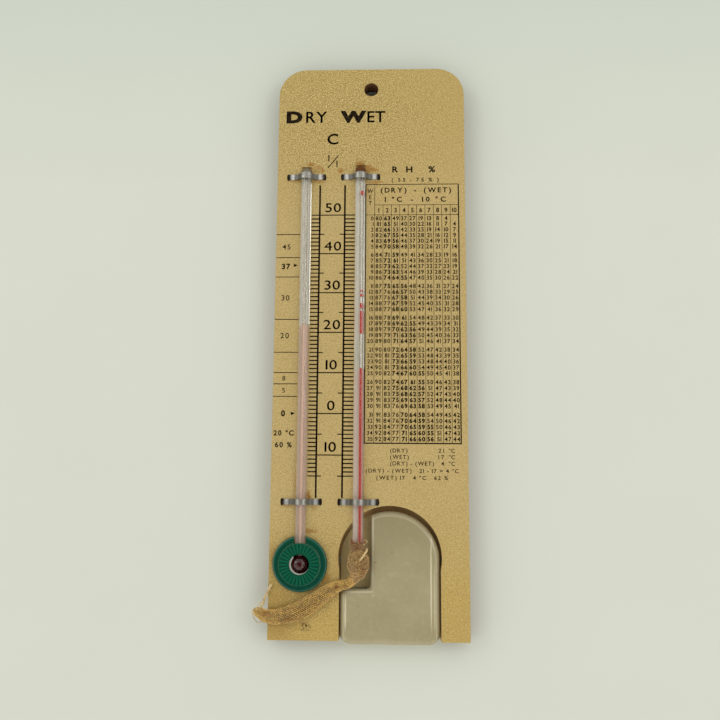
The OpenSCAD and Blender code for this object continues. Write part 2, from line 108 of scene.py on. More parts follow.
def hexa(code):
    """The same with full alpha, as a colour socket takes it."""
    return (*linear(code), 1.0)


def solid(value):
    """A colour setting with full alpha."""
    return (*value[:3], 1.0)


def colour(name, code, about):
    """A colour setting, its default given as sRGB hex."""
    return FloatVectorProperty(name=name, description=about, subtype="COLOR", size=3,
                               min=0.0, max=1.0, default=linear(code))


def length(name, value, about):
    """A length setting, its default given in millimetres."""
    return FloatProperty(name=name, description=about, default=value * MM, min=0.0,
                         unit="LENGTH", subtype="DISTANCE", precision=5)


class FaceSettings(PropertyGroup):
    """Board, embossed sheet, backing paper and print."""
    paper: colour("Backing paper", "#D2B684", "Paper seen round the tank")
    sheet: colour("Sheet", "#BEA770", "Gold of the embossed sheet in the middle")
    # Deeper gold towards the wick, partly painted shade
    sheet_low: colour("Sheet, low", "#BA9F58", "Deeper gold towards the wick")
    sheet_top: colour("Sheet, top", "#B59F5A", "Deeper gold at the hanging hole")
    rust: colour("Rust stain", "#93651E", "Stain that the clips leave on the sheet")
    core: colour("Core", "#5E4026", "Stained hardboard of the core")
    ink: colour("Ink", "#0E0704", "Screen ink of the print")
    pebble: length("Pebble", 0.55, "Distance between the grain's pebbles")
    numeral: length("Numerals", 4.15, "Height of the scale's numerals")


class StemSettings(PropertyGroup):
    """Thermometers."""
    enamel: colour("Enamel", "#FFFAE8", "Strip behind the bore")
    column: colour("Spirit", "#C22C1E", "Column of the wet thermometer")
    faded: colour("Faded spirit", "#EECCB8", "Column of the dry thermometer")
    bulk: colour("Spirit in a bulb", "#4A0A10", "Deep colour where the spirit is thick")


class FittingSettings(PropertyGroup):
    """Clips, guard and liner."""
    nickel: colour("Nickel", "#BDBBB4", "Plating of the clips")
    clip_rust: colour("Clip rust", "#5B3418", "Rust on the clips")
    guard: colour("Guard", "#004E39", "Moulded green of the bulb guard")
    liner: colour("Liner", "#E4E2DA", "Card behind the guard's window")


class TankSettings(PropertyGroup):
    """Water tank."""
    shell: colour("Tank", "#A89F80", "Aged milky plastic")
    scale: colour("Lime", "#C9C2A4", "Dried water marks inside the walls")


class WickSettings(PropertyGroup):
    """Knitted wick and its threads."""
    cotton: colour("Cotton", "#D8AE50", "Yarn of the wick")
    sleeve: colour("Sleeve", "#C89C54", "Cotton of the sleeve, washed by the water")
    thread: colour("Thread", "#DEC590", "Plied threads at the knot and the tie's ends")
    # The inside colour is kept dark: painted shade in the gaps between the stitches
    shade: colour("Inside", "#241708", "Cotton behind the stitches")
    stain: colour("Stain", "#8A4A1E", "Rust in the cotton")
    tie: colour("Tie", "#8A5E36", "Thread round the sleeve's neck")
    stitch: length("Stitch", 1.12, "Width of one stitch on the tail")
    yarn: length("Yarn", 0.26, "Diameter of the yarn")
    sides: IntProperty(name="Yarn sides", description="Sides of each yarn tube",
                       default=5, min=3, max=8)


class StageSettings(PropertyGroup):
    """Floor, lamps and camera."""
    floor: colour("Floor", "#D4D8CE", "Pale matt floor")
    lens: FloatProperty(name="Lens", description="Focal length on a 36 mm sensor, in millimetres",
                        default=39.0, min=1.0)
    ceiling: FloatProperty(name="Ceiling", description="Strength of the light from overhead",
                           default=0.12, min=0.0)
    walls: FloatProperty(name="Walls", description="Strength of the light from all round",
                         default=1.24, min=0.0)
    sides: FloatProperty(name="Sides", description="Power of the lamp at either side",
                         default=0.8, min=0.0, unit="POWER")


# Materials: tools


def add(tree, kind, links=None, ramp=None, **settings):
    """Adds a node with its settings and links, and returns its outputs."""
    node = tree.nodes.new("ShaderNode" + kind)
    for key, value in settings.items():
        setattr(node, key, value)
    for socket, value in (links or {}).items():
        if isinstance(value, bpy.types.NodeSocket):
            tree.links.new(value, node.inputs[socket])
        else:
            node.inputs[socket].default_value = value
    if ramp:
        stops = node.color_ramp.elements
        while len(stops) < len(ramp):
            stops.new(0.5)
        for stop, (at, shade) in zip(stops, ramp):
            stop.position, stop.color = at, shade
    return node.outputs


def new_material(name):
    """An empty material and its node tree."""
    made = bpy.data.materials.new(name)
    made.use_nodes = True
    made.node_tree.nodes.clear()
    return made, made.node_tree


def surface(tree, **sockets):
    """Closes the tree with one Principled shader; each word names a socket of it."""
    links = {key.replace("_", " "): value for key, value in sockets.items()}
    add(tree, "OutputMaterial", {"Surface": add(tree, "BsdfPrincipled", links)[0]})


def place(tree):
    """Object coordinates in millimetres, so a pattern's scale is one over its size in them."""
    return add(tree, "VectorMath", {0: add(tree, "TexCoord")["Object"], "Scale": 1 / MM},
               operation="SCALE")[0]


def coat(tree, under, over, value, start, full, share=1.0):
    """One colour over another, from none of it where value is start to its share at full."""
    mask = add(tree, "MapRange", {0: value, 1: start, 2: full, 3: 0.0, 4: share})[0]
    return add(tree, "Mix", {0: mask, 6: under, 7: over}, data_type="RGBA")[2]


def off_line(tree, value, middle):
    """How far a value is from a middle one, either way."""
    past = add(tree, "Math", {0: value, 1: middle}, operation="SUBTRACT")[0]
    return add(tree, "Math", {0: past}, operation="ABSOLUTE")[0]


def off_ring(tree, where, centre_x, centre_y, radius, legs=False):
    """How far a point is in plan from a ring, or from an arch with straight legs under it."""
    spot = add(tree, "VectorMath", {0: where, 1: (-centre_x, -centre_y, 0)}, operation="ADD")[0]
    if legs:
        spot = add(tree, "VectorMath", {0: spot, 1: (-99, 0, 0)}, operation="MAXIMUM")[0]
    spot = add(tree, "VectorMath", {0: spot, 1: (1, 1, 0)}, operation="MULTIPLY")[0]
    reach = add(tree, "VectorMath", {0: spot}, operation="LENGTH")["Value"]
    return off_line(tree, reach, radius)


def spots(tree, where, marks, ragged, full=0.2):
    """Mask of marks, each (x, y, half width, half height, strength), with ragged rims."""
    noise = add(tree, "TexNoise", {"Vector": where, "Scale": 0.55, "Detail": 3.0})["Color"]
    pushed = add(tree, "VectorMath", {0: noise, 1: (ragged, ragged, 0), 2: where},
                 operation="MULTIPLY_ADD")[0]
    mask = None
    for x, y, half_w, half_h, strength in marks:
        centre = (x + ragged / 2, y + ragged / 2, 0)
        off = add(tree, "VectorMath", {0: pushed, 1: centre}, operation="SUBTRACT")[0]
        off = add(tree, "VectorMath", {0: off, 1: (1 / half_w, 1 / half_h, 0)},
                  operation="MULTIPLY")[0]
        reach = add(tree, "VectorMath", {0: off}, operation="LENGTH")["Value"]
        one = add(tree, "MapRange", {0: reach, 1: 1.0, 2: full, 3: 0.0, 4: strength},
                  interpolation_type="SMOOTHSTEP")[0]
        mask = one if mask is None else add(tree, "Math", {0: mask, 1: one},
                                            operation="MAXIMUM")[0]
    return mask


# Materials: finishes

# Stains on the sheet: at the clips, the stems' ends and the bottom edge, and a painted shadow
# round the guard
SHEET_STAINS = [
    (-23.4, -36.4, 4.6, 2.4, 0.35), (-25.6, -34.2, 2.4, 0.9, 0.8), (-21.0, -36.6, 1.0, 1.6, 0.8),
    (-31.5, -41.6, 4.6, 1.2, 0.45), (-22.5, -41.6, 4.6, 1.2, 0.5), (-0.6, -36.6, 4.4, 1.8, 0.75),
    (-4.6, -33.9, 3.0, 1.8, 0.9), (-13.0, -37.0, 1.6, 2.0, 0.7), (1.5, -42.4, 3.2, 1.1, 0.6),
    (-1.7, -46.0, 0.9, 4.5, 0.45), (-24.4, -174.6, 1.4, 3.6, 0.85), (-22.4, -179.2, 2.0, 1.6, 0.5),
    (-33.8, -178.6, 4.0, 1.0, 0.4), (-23.6, -188.4, 4.0, 1.7, 0.7),
    # The second mark below and the first on the line after it are painted shadow round the guard's
    # lower right, in the rust colour
    (-38.4, -199.0, 1.8, 8.0, 0.35), (-17.4, -206.8, 3.0, 3.6, 0.6),
    (-26.9, -201.9, 12.3, 12.3, 0.8), (-37.0, -222.6, 5.0, 2.6, 0.35),
    (-2.0, -178.9, 5.5, 0.9, 0.35), (-30.0, -170.0, 1.0, 10.0, 0.3),
]
# Small stains with sharp rims, beside the stems' tips
SHEET_RIMS = [
    (-25.2, -33.6, 2.0, 0.4, 0.6), (-22.4, -35.2, 1.8, 0.45, 0.5), (-20.6, -37.4, 0.6, 0.9, 0.6),
    (-12.9, -37.2, 0.5, 1.3, 0.75), (-1.3, -35.0, 2.2, 0.6, 0.75), (1.8, -36.8, 1.4, 0.5, 0.6),
    (-35.6, -41.4, 0.6, 0.9, 0.4), (3.9, -42.0, 1.6, 0.5, 0.5),
]
# The broad dull darkening below the wick's knot
CORNER_DARKENING = [(-36.0, -221.0, 11.0, 18.0, 0.3)]
# Scuffs near the lower and upper edges, and the two parts of the sheet where the pebbles' painted
# highlights and shade are strongest
SCUFFS = [(-24.9, -225.3, 3.2, 2.8, 1.0), (14.0, -25.0, 1.0, 0.8, 0.5)]
GLINT_AREAS = [(-14.0, -14.0, 62.0, 48.0, 1.0), (-26.0, -206.0, 30.0, 30.0, 0.5)]
# Painted shade at the eight slots of the clips, at the outer sides of the legs
SLOT_SHADE = [(x + side * LEG_REACH, y, 0.65, 1.7, 1.0) for x in (DRY_X, WET_X)
             for side in (-1, 1) for y in CLIP_YS]


def vinyl(settings):
    """PVC leathercloth, heat embossed: a satin sheen that pebbles break, over gold print."""
    made, tree = new_material("Embossed vinyl, gold")
    where = place(tree)
    axes = add(tree, "SeparateXYZ", {0: where})
    cloud = add(tree, "TexNoise", {"Vector": where, "Scale": 0.04, "Detail": 4.0})[0]
    # Deeper gold towards the wick and the left, partly painted shade
    low = add(tree, "MapRange", {0: axes["Y"], 1: -178.0, 2: -212.0, 3: 0.0, 4: 1.0})[0]
    left = add(tree, "MapRange", {0: axes["X"], 1: 45.0, 2: -30.0, 3: 0.85, 4: 1.0})[0]
    low = add(tree, "Math", {0: low, 1: left}, operation="MULTIPLY")[0]
    base = add(tree, "Mix", {0: low, 6: solid(settings.sheet), 7: solid(settings.sheet_low)},
               data_type="RGBA")[2]
    base = coat(tree, base, solid(settings.sheet_top), axes["Y"], -60.0, 5.0, 0.8)
    base = coat(tree, base, hexa("#B2965A"), cloud, 0.35, 0.7, 0.25)
    # Pebbles: rounded cells with painted shade in their seams and painted highlights on their
    # tops, strongest where the glints fall
    grit = MM / settings.pebble
    glint_area = spots(tree, where, GLINT_AREAS, 3.0)
    warped = add(tree, "VectorMath", {
        0: add(tree, "TexNoise", {"Vector": where, "Scale": grit * 0.8})["Color"],
        1: (0.5, 0.5, 0.0), 2: where}, operation="MULTIPLY_ADD")[0]
    cells = add(tree, "TexVoronoi", {"Vector": warped, "Scale": grit})["Distance"]
    fleck = add(tree, "TexNoise", {"Vector": warped, "Scale": grit * 1.1, "Detail": 1.0})[0]
    glint_depth = add(tree, "MapRange", {0: glint_area, 1: 0.0, 2: 1.0, 3: 0.42, 4: 0.85})[0]
    for grain, start, full, code in ((cells, 0.3, 0.75, "#8F7238"),
                                     (fleck, 0.52, 0.72, "#E2D09A")):
        mask = add(tree, "MapRange", {0: grain, 1: start, 2: full, 3: 0.0, 4: 1.0})[0]
        mask = add(tree, "Math", {0: mask, 1: glint_depth}, operation="MULTIPLY")[0]
        base = add(tree, "Mix", {0: mask, 6: base, 7: hexa(code)}, data_type="RGBA")[2]
    for marks, ragged, full, shade in ((SHEET_STAINS, 2.4, 0.2, solid(settings.rust)),
                                       (SHEET_RIMS, 2.0, 0.7, hexa("#9C6420")),
                                       (CORNER_DARKENING, 2.0, 0.2, hexa("#8C6420"))):
        base = add(tree, "Mix", {0: spots(tree, where, marks, ragged, full), 6: base, 7: shade},
                   data_type="RGBA")[2]
    grime = add(tree, "TexNoise", {"Vector": where, "Scale": 1.1, "Detail": 3.0})[0]
    grime = add(tree, "MapRange", {0: grime, 1: 0.46, 2: 0.56, 3: 0.0, 4: 1.0})[0]
    scuffed = add(tree, "Math", {0: spots(tree, where, SCUFFS, 1.0), 1: grime},
                  operation="MULTIPLY")[0]
    base = add(tree, "Mix", {0: scuffed, 6: base, 7: hexa("#5C3E1E")}, data_type="RGBA")[2]
    # Painted shade in the punched slots round the clips' legs
    base = add(tree, "Mix", {0: spots(tree, where, SLOT_SHADE, 0.3, full=0.7), 6: base,
                             7: hexa("#1E140A")}, data_type="RGBA")[2]
    height = add(tree, "Math", {0: fleck, 1: cells}, operation="SUBTRACT")[0]
    relief = add(tree, "Bump", {"Height": height, "Strength": 1.0, "Distance": 0.05 * MM})[0]
    rough = add(tree, "MapRange", {0: glint_area, 1: 0.0, 2: 1.0, 3: 0.5, 4: 0.3})[0]
    surface(tree, Base_Color=base, Roughness=rough, Normal=relief, Specular_IOR_Level=0.3)
    return made


def hardboard(settings):
    """Tempered hardboard, sawn and stained: matt, with short fibres and lighter sawn walls."""
    made, tree = new_material("Hardboard, stained")
    where = place(tree)
    fibre = add(tree, "TexNoise", {
        "Vector": add(tree, "Mapping", {"Vector": where, "Scale": (0.5, 0.5, 3.2)})[0],
        "Scale": 1.3, "Detail": 6.0, "Roughness": 0.7})[0]
    base = add(tree, "Mix", {0: fibre, 6: solid(settings.core), 7: hexa("#7A5632")},
               data_type="RGBA")[2]
    # The bay's walls are lighter and more golden than the rest of the core
    bay = spots(tree, where, [(BAY_X, -205.0, 30.0, 40.0, 1.0)], 1.0, full=0.85)
    base = add(tree, "Mix", {0: bay, 6: base, 7: hexa("#BC9860")}, data_type="RGBA")[2]
    # The upper ends of the grooves are coloured like the sheet: painted light over the shade in
    # them
    ends = spots(tree, where, [(DRY_X, -34.0, 5.0, 3.0, 1.0), (WET_X, -33.2, 5.0, 3.0, 1.0)],
                 0.4, full=0.7)
    base = add(tree, "Mix", {0: ends, 6: base, 7: hexa("#C8A868")}, data_type="RGBA")[2]
    relief = add(tree, "Bump", {"Height": fibre, "Strength": 0.5, "Distance": 0.12 * MM})[0]
    surface(tree, Base_Color=base, Roughness=0.78, Normal=relief)
    return made


def screen_ink(settings):
    """Screen ink on embossed vinyl: nearly black, worn to brown where the pebbles stand up."""
    made, tree = new_material("Screen ink, worn")
    where = place(tree)
    wear = add(tree, "TexNoise", {"Vector": where, "Scale": 1.5, "Detail": 3.0,
                                  "Roughness": 0.65})[0]
    # The headings are rubbed a little more than the rest
    rubbed = add(tree, "MapRange", {0: add(tree, "SeparateXYZ", {0: where})["Y"],
                                    1: -34.0, 2: -20.0, 3: 0.0, 4: 0.04})[0]
    wear = add(tree, "Math", {0: wear, 1: rubbed}, operation="ADD")[0]
    patch = add(tree, "TexNoise", {"Vector": where, "Scale": 0.12, "Detail": 1.0})[0]
    patch = add(tree, "Math", {0: wear, 1: patch, 2: -0.32}, operation="MULTIPLY_ADD")[0]
    base = coat(tree, solid(settings.ink), hexa("#7C6844"), wear, 0.53, 0.72, 0.3)
    base = coat(tree, base, hexa("#5A4628"), patch, 0.0, 0.3, 0.1)
    surface(tree, Base_Color=base, Roughness=0.8, Specular_IOR_Level=0.06)
    return made


def drawn_glass():
    """Capillary glass, drawn: clear, with sharp reflections and a dull sealed tip with dirt."""
    made, tree = new_material("Capillary glass, drawn")
    axes = add(tree, "SeparateXYZ", {0: place(tree)})
    tip = add(tree, "MapRange", {0: axes["Y"], 1: -38.6, 2: -38.0, 3: 0.0, 4: 1.0})[0]
    wet = add(tree, "Math", {0: axes["X"], 1: (DRY_X + WET_X) / 2}, operation="GREATER_THAN")[0]
    dirt = add(tree, "Mix", {0: wet, 6: hexa("#78705A"), 7: hexa("#5E3A16")}, data_type="RGBA")[2]
    base = add(tree, "Mix", {0: tip, 6: hexa("#FFFFFF"), 7: dirt}, data_type="RGBA")[2]
    rough, gleam, clear = (
        add(tree, "MapRange", {0: tip, 1: 0.0, 2: 1.0, 3: along, 4: at_tip})[0]
        for along, at_tip in ((0.02, 0.6), (0.5, 0.1), (1.0, 0.08)))
    surface(tree, Base_Color=base, Roughness=rough, IOR=1.5, Transmission_Weight=clear,
            Specular_IOR_Level=gleam)
    return made


def fused_enamel(name, reading_y, flush, settings):
    """White opal enamel, fused: even and milky, and flushed by the spirit in front of it."""
    made, tree = new_material(name)
    where = place(tree)
    drift = add(tree, "TexNoise", {"Vector": where, "Scale": 0.12, "Detail": 2.0})[0]
    base = add(tree, "Mix", {0: drift, 6: solid(settings.enamel), 7: hexa("#F2EBD4")},
               data_type="RGBA")[2]
    height = add(tree, "SeparateXYZ", {0: where})["Y"]
    base = coat(tree, base, flush, height, reading_y, reading_y - 1.5)
    surface(tree, Base_Color=base, Roughness=0.35)
    return made


def dyed_spirit(name, stem_x, column, rim, settings):
    """Dyed alcohol: deep where it is thick in the bulb, thin and pale in the bore."""
    made, tree = new_material(name)
    where = place(tree)
    axes = add(tree, "SeparateXYZ", {0: where})
    # The column's edges get the rim colour: painted light and shade standing in for the glass's
    # refraction at the sides of the bore
    base = coat(tree, column, rim, off_line(tree, axes["X"], stem_x), 0.28, 0.38)
    cloud = add(tree, "TexNoise", {"Vector": where, "Scale": 0.9, "Detail": 3.0})[0]
    bulk = coat(tree, solid(settings.bulk), hexa("#6E1216"), cloud, 0.55, 0.68, 0.8)
    deep = add(tree, "MapRange", {0: axes["Y"], 1: BULB_Y + 3.2, 2: BULB_Y + 3.8,
                                  3: 1.0, 4: 0.0})[0]
    base = add(tree, "Mix", {0: deep, 6: base, 7: bulk}, data_type="RGBA")[2]
    surface(tree, Base_Color=base, Roughness=0.12, IOR=1.36, Specular_IOR_Level=0.12)
    return made


# Half the span of a clip's strap, which its painted bands of highlight and shade are spread over
STRAP_HALF = 8.0


def nickel_plate(settings):
    """Nickel on spring steel, pressed: bright, brushed along the strap, rust at its edges."""
    made, tree = new_material("Nickel plate, pressed")
    where = place(tree)
    axes = add(tree, "SeparateXYZ", {0: where})
    drag = add(tree, "TexNoise", {
        "Vector": add(tree, "Mapping", {"Vector": where, "Scale": (0.35, 4.0, 1.0)})[0],
        "Scale": 1.6, "Detail": 4.0})[0]
    bloom = add(tree, "TexNoise", {"Vector": where, "Scale": 0.9, "Detail": 5.0,
                                   "Roughness": 0.7})[0]
    rust = add(tree, "MapRange", {0: bloom, 1: 0.58, 2: 0.66, 3: 0.0, 4: 0.85})[0]
    low = add(tree, "MapRange", {0: axes["Z"], 1: FACE_Z + 0.2, 2: FACE_Z - 0.5,
                                 3: 0.0, 4: 0.9})[0]
    rust = add(tree, "Math", {0: rust, 1: low}, operation="MAXIMUM")[0]
    # Along the strap: bright saddle, painted shade on the slopes, painted highlights on the dished
    # feet and painted shadow at the slots
    along = add(tree, "Math", {0: off_line(tree, axes["X"], DRY_X),
                               1: off_line(tree, axes["X"], WET_X)}, operation="MINIMUM")[0]
    along = add(tree, "Math", {0: along, 1: STRAP_HALF}, operation="DIVIDE")[0]
    painted_light_band = add(tree, "ValToRGB", {0: along}, ramp=[
        (0.0, solid(settings.nickel)), (0.16, hexa("#A9A8A2")), (0.28, hexa("#5E5D58")),
        (0.5, hexa("#6A6963")), (0.6, hexa("#8E8D88")), (0.7, hexa("#FFFFFF")),
        (0.8, hexa("#F2F1EC")), (0.87, hexa("#8A8983")), (0.91, hexa("#16120E")),
        (1.0, hexa("#070504"))])[0]
    base = coat(tree, painted_light_band, hexa("#6E6D66"), drag, 0.4, 0.65, 0.35)
    base = add(tree, "Mix", {0: rust, 6: base, 7: solid(settings.clip_rust)}, data_type="RGBA")[2]
    rough = add(tree, "MapRange", {0: drag, 1: 0.3, 2: 0.7, 3: 0.28, 4: 0.5})[0]
    rough = add(tree, "Math", {0: rust, 1: 0.5, 2: rough}, operation="MULTIPLY_ADD",
                use_clamp=True)[0]
    bright = add(tree, "MapRange", {0: rust, 1: 0.0, 2: 1.0, 3: 1.0, 4: 0.1})[0]
    relief = add(tree, "Bump", {"Height": drag, "Strength": 0.25, "Distance": 0.03 * MM})[0]
    surface(tree, Base_Color=base, Metallic=bright, Roughness=rough, Normal=relief)
    return made


# Radius of the disc's turned edge on the bulb guard
GUARD_EDGE = 8.3


def moulded_green(settings):
    """Polystyrene, injection moulded and polished: deep green, glossy, dust in its corners."""
    made, tree = new_material("Polystyrene, moulded")
    where = place(tree)
    dust = add(tree, "TexNoise", {"Vector": where, "Scale": 0.7, "Detail": 6.0,
                                  "Roughness": 0.7})[0]
    cloud = add(tree, "TexNoise", {"Vector": where, "Scale": 0.25, "Detail": 2.0})[0]
    height = add(tree, "SeparateXYZ", {0: where})["Z"]
    base = coat(tree, solid(settings.guard), hexa("#003F38"), cloud, 0.4, 0.65, 0.4)
    # The ribs' tops are painted lighter green: a painted highlight on their crests
    base = coat(tree, base, hexa("#0C6848"), height, GUARD_TOP - 0.3, GUARD_TOP - 0.05, 0.75)
    base = coat(tree, base, hexa("#7F8A6A"), dust, 0.62, 0.74, 0.14)
    # The turned edge of the disc: a thin painted highlight round it, broken up by the dust noise
    edge = add(tree, "MapRange", {0: off_ring(tree, where, DRY_X, BULB_Y, GUARD_EDGE),
                                  1: 0.1, 2: 0.3, 3: 0.55, 4: 0.0})[0]
    worn = add(tree, "MapRange", {0: dust, 1: 0.4, 2: 0.6, 3: 0.3, 4: 1.0})[0]
    edge = add(tree, "Math", {0: edge, 1: worn}, operation="MULTIPLY")[0]
    base = add(tree, "Mix", {0: edge, 6: base, 7: hexa("#5C8468")}, data_type="RGBA")[2]
    rough = add(tree, "MapRange", {0: dust, 1: 0.35, 2: 0.7, 3: 0.1, 4: 0.24})[0]
    relief = add(tree, "Bump", {"Height": cloud, "Strength": 0.3, "Distance": 0.1 * MM})[0]
    surface(tree, Base_Color=base, Roughness=rough, Normal=relief, IOR=1.5)
    return made


def brown_paper(settings):
    """Kraft paper, glued over the bay's back: matt brown, darker where water has dried."""
    made, tree = new_material("Kraft paper, water stained")
    where = place(tree)
    fibre = add(tree, "TexNoise", {"Vector": where, "Scale": 1.2, "Detail": 5.0})[0]
    stain = add(tree, "TexNoise", {"Vector": where, "Scale": 0.15, "Detail": 3.0})[0]
    base = add(tree, "Mix", {0: fibre, 6: solid(settings.paper), 7: hexa("#C6A872")},
               data_type="RGBA")[2]
    base = coat(tree, base, hexa("#B0905C"), stain, 0.45, 0.65, 0.4)
    surface(tree, Base_Color=base, Roughness=0.85)
    return made


def white_card(settings):
    """Coated card, die cut: matt white with a little dust."""
    made, tree = new_material("Coated card, cut")
    fibre = add(tree, "TexNoise", {"Vector": place(tree), "Scale": 1.6, "Detail": 5.0})[0]
    base = add(tree, "Mix", {0: fibre, 6: solid(settings.liner), 7: hexa("#CFCBBD")},
               data_type="RGBA")[2]
    surface(tree, Base_Color=base, Roughness=0.8)
    return made


# Painted highlights in the shell, along the inside of its walls and its notch
SHELL_HIGHLIGHTS = [
    (24.7, -209.0, 0.4, 21.0, 0.8), (26.0, -214.0, 0.3, 15.0, 0.5), (-9.2, -220.0, 0.42, 8.0, 0.8),
    (1.5, -193.0, 0.5, 20.0, 0.7), (-4.0, -211.9, 7.0, 0.45, 0.6), (24.9, -193.0, 0.4, 4.0, 0.5),
]
# Specks of dirt in the shell
SHELL_SPECKS = [
    (20.8, -183.4, 0.9, 0.7, 0.9), (2.6, -200.6, 0.7, 0.6, 0.45), (9.0, -197.0, 0.5, 0.5, 0.35),
    (-4.0, -217.5, 0.6, 0.5, 0.35),
]
# Radius of the inner edge of the shell's arched wall, and how far its centre is under the bay's
SHELL_INNER, SHELL_DROP = 18.3, 1.6


def milky_plastic(name, settings, tint=None):
    """Polyethylene, injection moulded: waxy and milky, with lime rings and dirt in it."""
    made, tree = new_material(name)
    where = place(tree)
    cloud = add(tree, "TexNoise", {"Vector": where, "Scale": 0.06, "Detail": 3.0})[0]
    haze = add(tree, "TexNoise", {"Vector": where, "Scale": 0.5, "Detail": 5.0,
                                  "Roughness": 0.6})[0]
    height = add(tree, "SeparateXYZ", {0: where})["Y"]
    base = coat(tree, solid(settings.shell), hexa("#998F6A"), cloud, 0.35, 0.65, 0.5)
    base = coat(tree, base, solid(settings.scale), haze, 0.5, 0.75, 0.18)
    base = coat(tree, base, hexa("#928768"), height, -205.0, -182.0, 0.7)
    if tint:
        stained = add(tree, "MapRange", {0: haze, 1: 0.3, 2: 0.7, 3: 0.75, 4: 1.0})[0]
        base = add(tree, "Mix", {0: stained, 6: base, 7: tint}, data_type="RGBA")[2]
    # A painted highlight follows the outline along the wall's inner edge
    rim = off_ring(tree, where, BAY_X, BAY_Y - SHELL_DROP, SHELL_INNER, legs=True)
    rim = add(tree, "MapRange", {0: rim, 1: 0.1, 2: 0.45, 3: 0.2, 4: 0.0})[0]
    painted_highlights = add(tree, "Math", {0: spots(tree, where, SHELL_HIGHLIGHTS, 0.3, full=0.6), 1: rim},
                  operation="MAXIMUM")[0]
    base = add(tree, "Mix", {0: painted_highlights, 6: base, 7: hexa("#D6CFB4")}, data_type="RGBA")[2]
    base = add(tree, "Mix", {0: spots(tree, where, SHELL_SPECKS, 0.8), 6: base,
                             7: hexa("#7C4A30")}, data_type="RGBA")[2]
    rough = add(tree, "MapRange", {0: haze, 1: 0.35, 2: 0.7, 3: 0.14, 4: 0.28})[0]
    relief = add(tree, "Bump", {"Height": haze, "Strength": 0.15, "Distance": 0.1 * MM})[0]
    surface(tree, Base_Color=base, Roughness=rough, Normal=relief, IOR=1.51,
            Subsurface_Weight=0.35, Subsurface_Radius=(1.0, 0.8, 0.5), Subsurface_Scale=2 * MM)
    return made


# Stains in the cotton: the neck, the turn under the bulb, the fold and the knot's end
WICK_STAINS = [
    (-6.6, -192.6, 1.6, 1.3, 0.9), (-2.4, -192.4, 1.3, 1.2, 0.8), (-4.6, -194.6, 1.4, 0.9, 0.6),
    (-12.8, -209.9, 1.5, 0.9, 0.9), (-9.0, -209.4, 2.0, 0.6, 0.6), (-40.6, -220.4, 3.4, 1.6, 0.45),
    (-30.0, -222.4, 6.0, 0.8, 0.4), (-20.0, -216.4, 5.0, 0.6, 0.4), (-2.2, -204.0, 1.6, 2.6, 0.3),
]


def cotton(name, shade, settings, matted=0.4):
    """Cotton yarn, knitted: matt with a soft bloom, matted and stained by water and rust."""
    made, tree = new_material(name)
    where = place(tree)
    tone = add(tree, "TexNoise", {"Vector": where, "Scale": 0.45, "Detail": 4.0})[0]
    fibre = add(tree, "TexNoise", {"Vector": where, "Scale": 4.5, "Detail": 3.0})[0]
    lump = add(tree, "TexNoise", {"Vector": where, "Scale": 1.7, "Detail": 1.0})[0]
    base = coat(tree, shade, hexa("#8E6C3C"), tone, 0.4, 0.65, 0.55)
    base = coat(tree, base, hexa("#EEDAAA"), fibre, 0.5, 0.68, matted)
    base = coat(tree, base, hexa("#6A4A20"), lump, 0.52, 0.36, matted)
    base = add(tree, "Mix", {0: spots(tree, where, WICK_STAINS, 1.6), 6: base,
                             7: solid(settings.stain)}, data_type="RGBA")[2]
    relief = add(tree, "Bump", {"Height": fibre, "Strength": 0.6, "Distance": 0.05 * MM})[0]
    surface(tree, Base_Color=base, Roughness=0.9, Normal=relief, Sheen_Weight=0.25,
            Sheen_Roughness=0.5)
    return made


def matt_floor(settings):
    """Painted board, rolled: matt and even, with painted shade darkening it towards the far side.
    """
    made, tree = new_material("Painted board, matt")
    where = place(tree)
    grain = add(tree, "TexNoise", {"Vector": where, "Scale": 0.02, "Detail": 3.0})[0]
    base = coat(tree, solid(settings.floor), hexa("#C8CCC2"), grain, 0.3, 0.7, 0.12)
    # Painted shade: darker and greener towards the far side
    far = add(tree, "SeparateXYZ", {0: where})["Y"]
    base = coat(tree, base, hexa("#C2CEC6"), far, -40.0, 60.0, 0.7)
    surface(tree, Base_Color=base, Roughness=0.85, Specular_IOR_Level=0.2)
    return made


# Pieces: tools


def dress(node, finish):
    """Gives a CAD node its finish."""
    for held in NODES[node].material_slots:
        held.material = finish


def new_piece(name, verts, faces, body, *finishes, smooth=True):
    """A mesh from points in millimetres, riding on a body."""
    mesh = bpy.data.meshes.new(name)
    mesh.from_pydata((np.asarray(verts, float) * MM).tolist(), [], faces)
    mesh.polygons.foreach_set("use_smooth", [smooth] * len(mesh.polygons))
    mesh.update()
    piece = bpy.data.objects.new(name, mesh)
    bpy.context.scene.collection.objects.link(piece)
    for finish in finishes:
        mesh.materials.append(finish)
    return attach(piece, body)


# Print


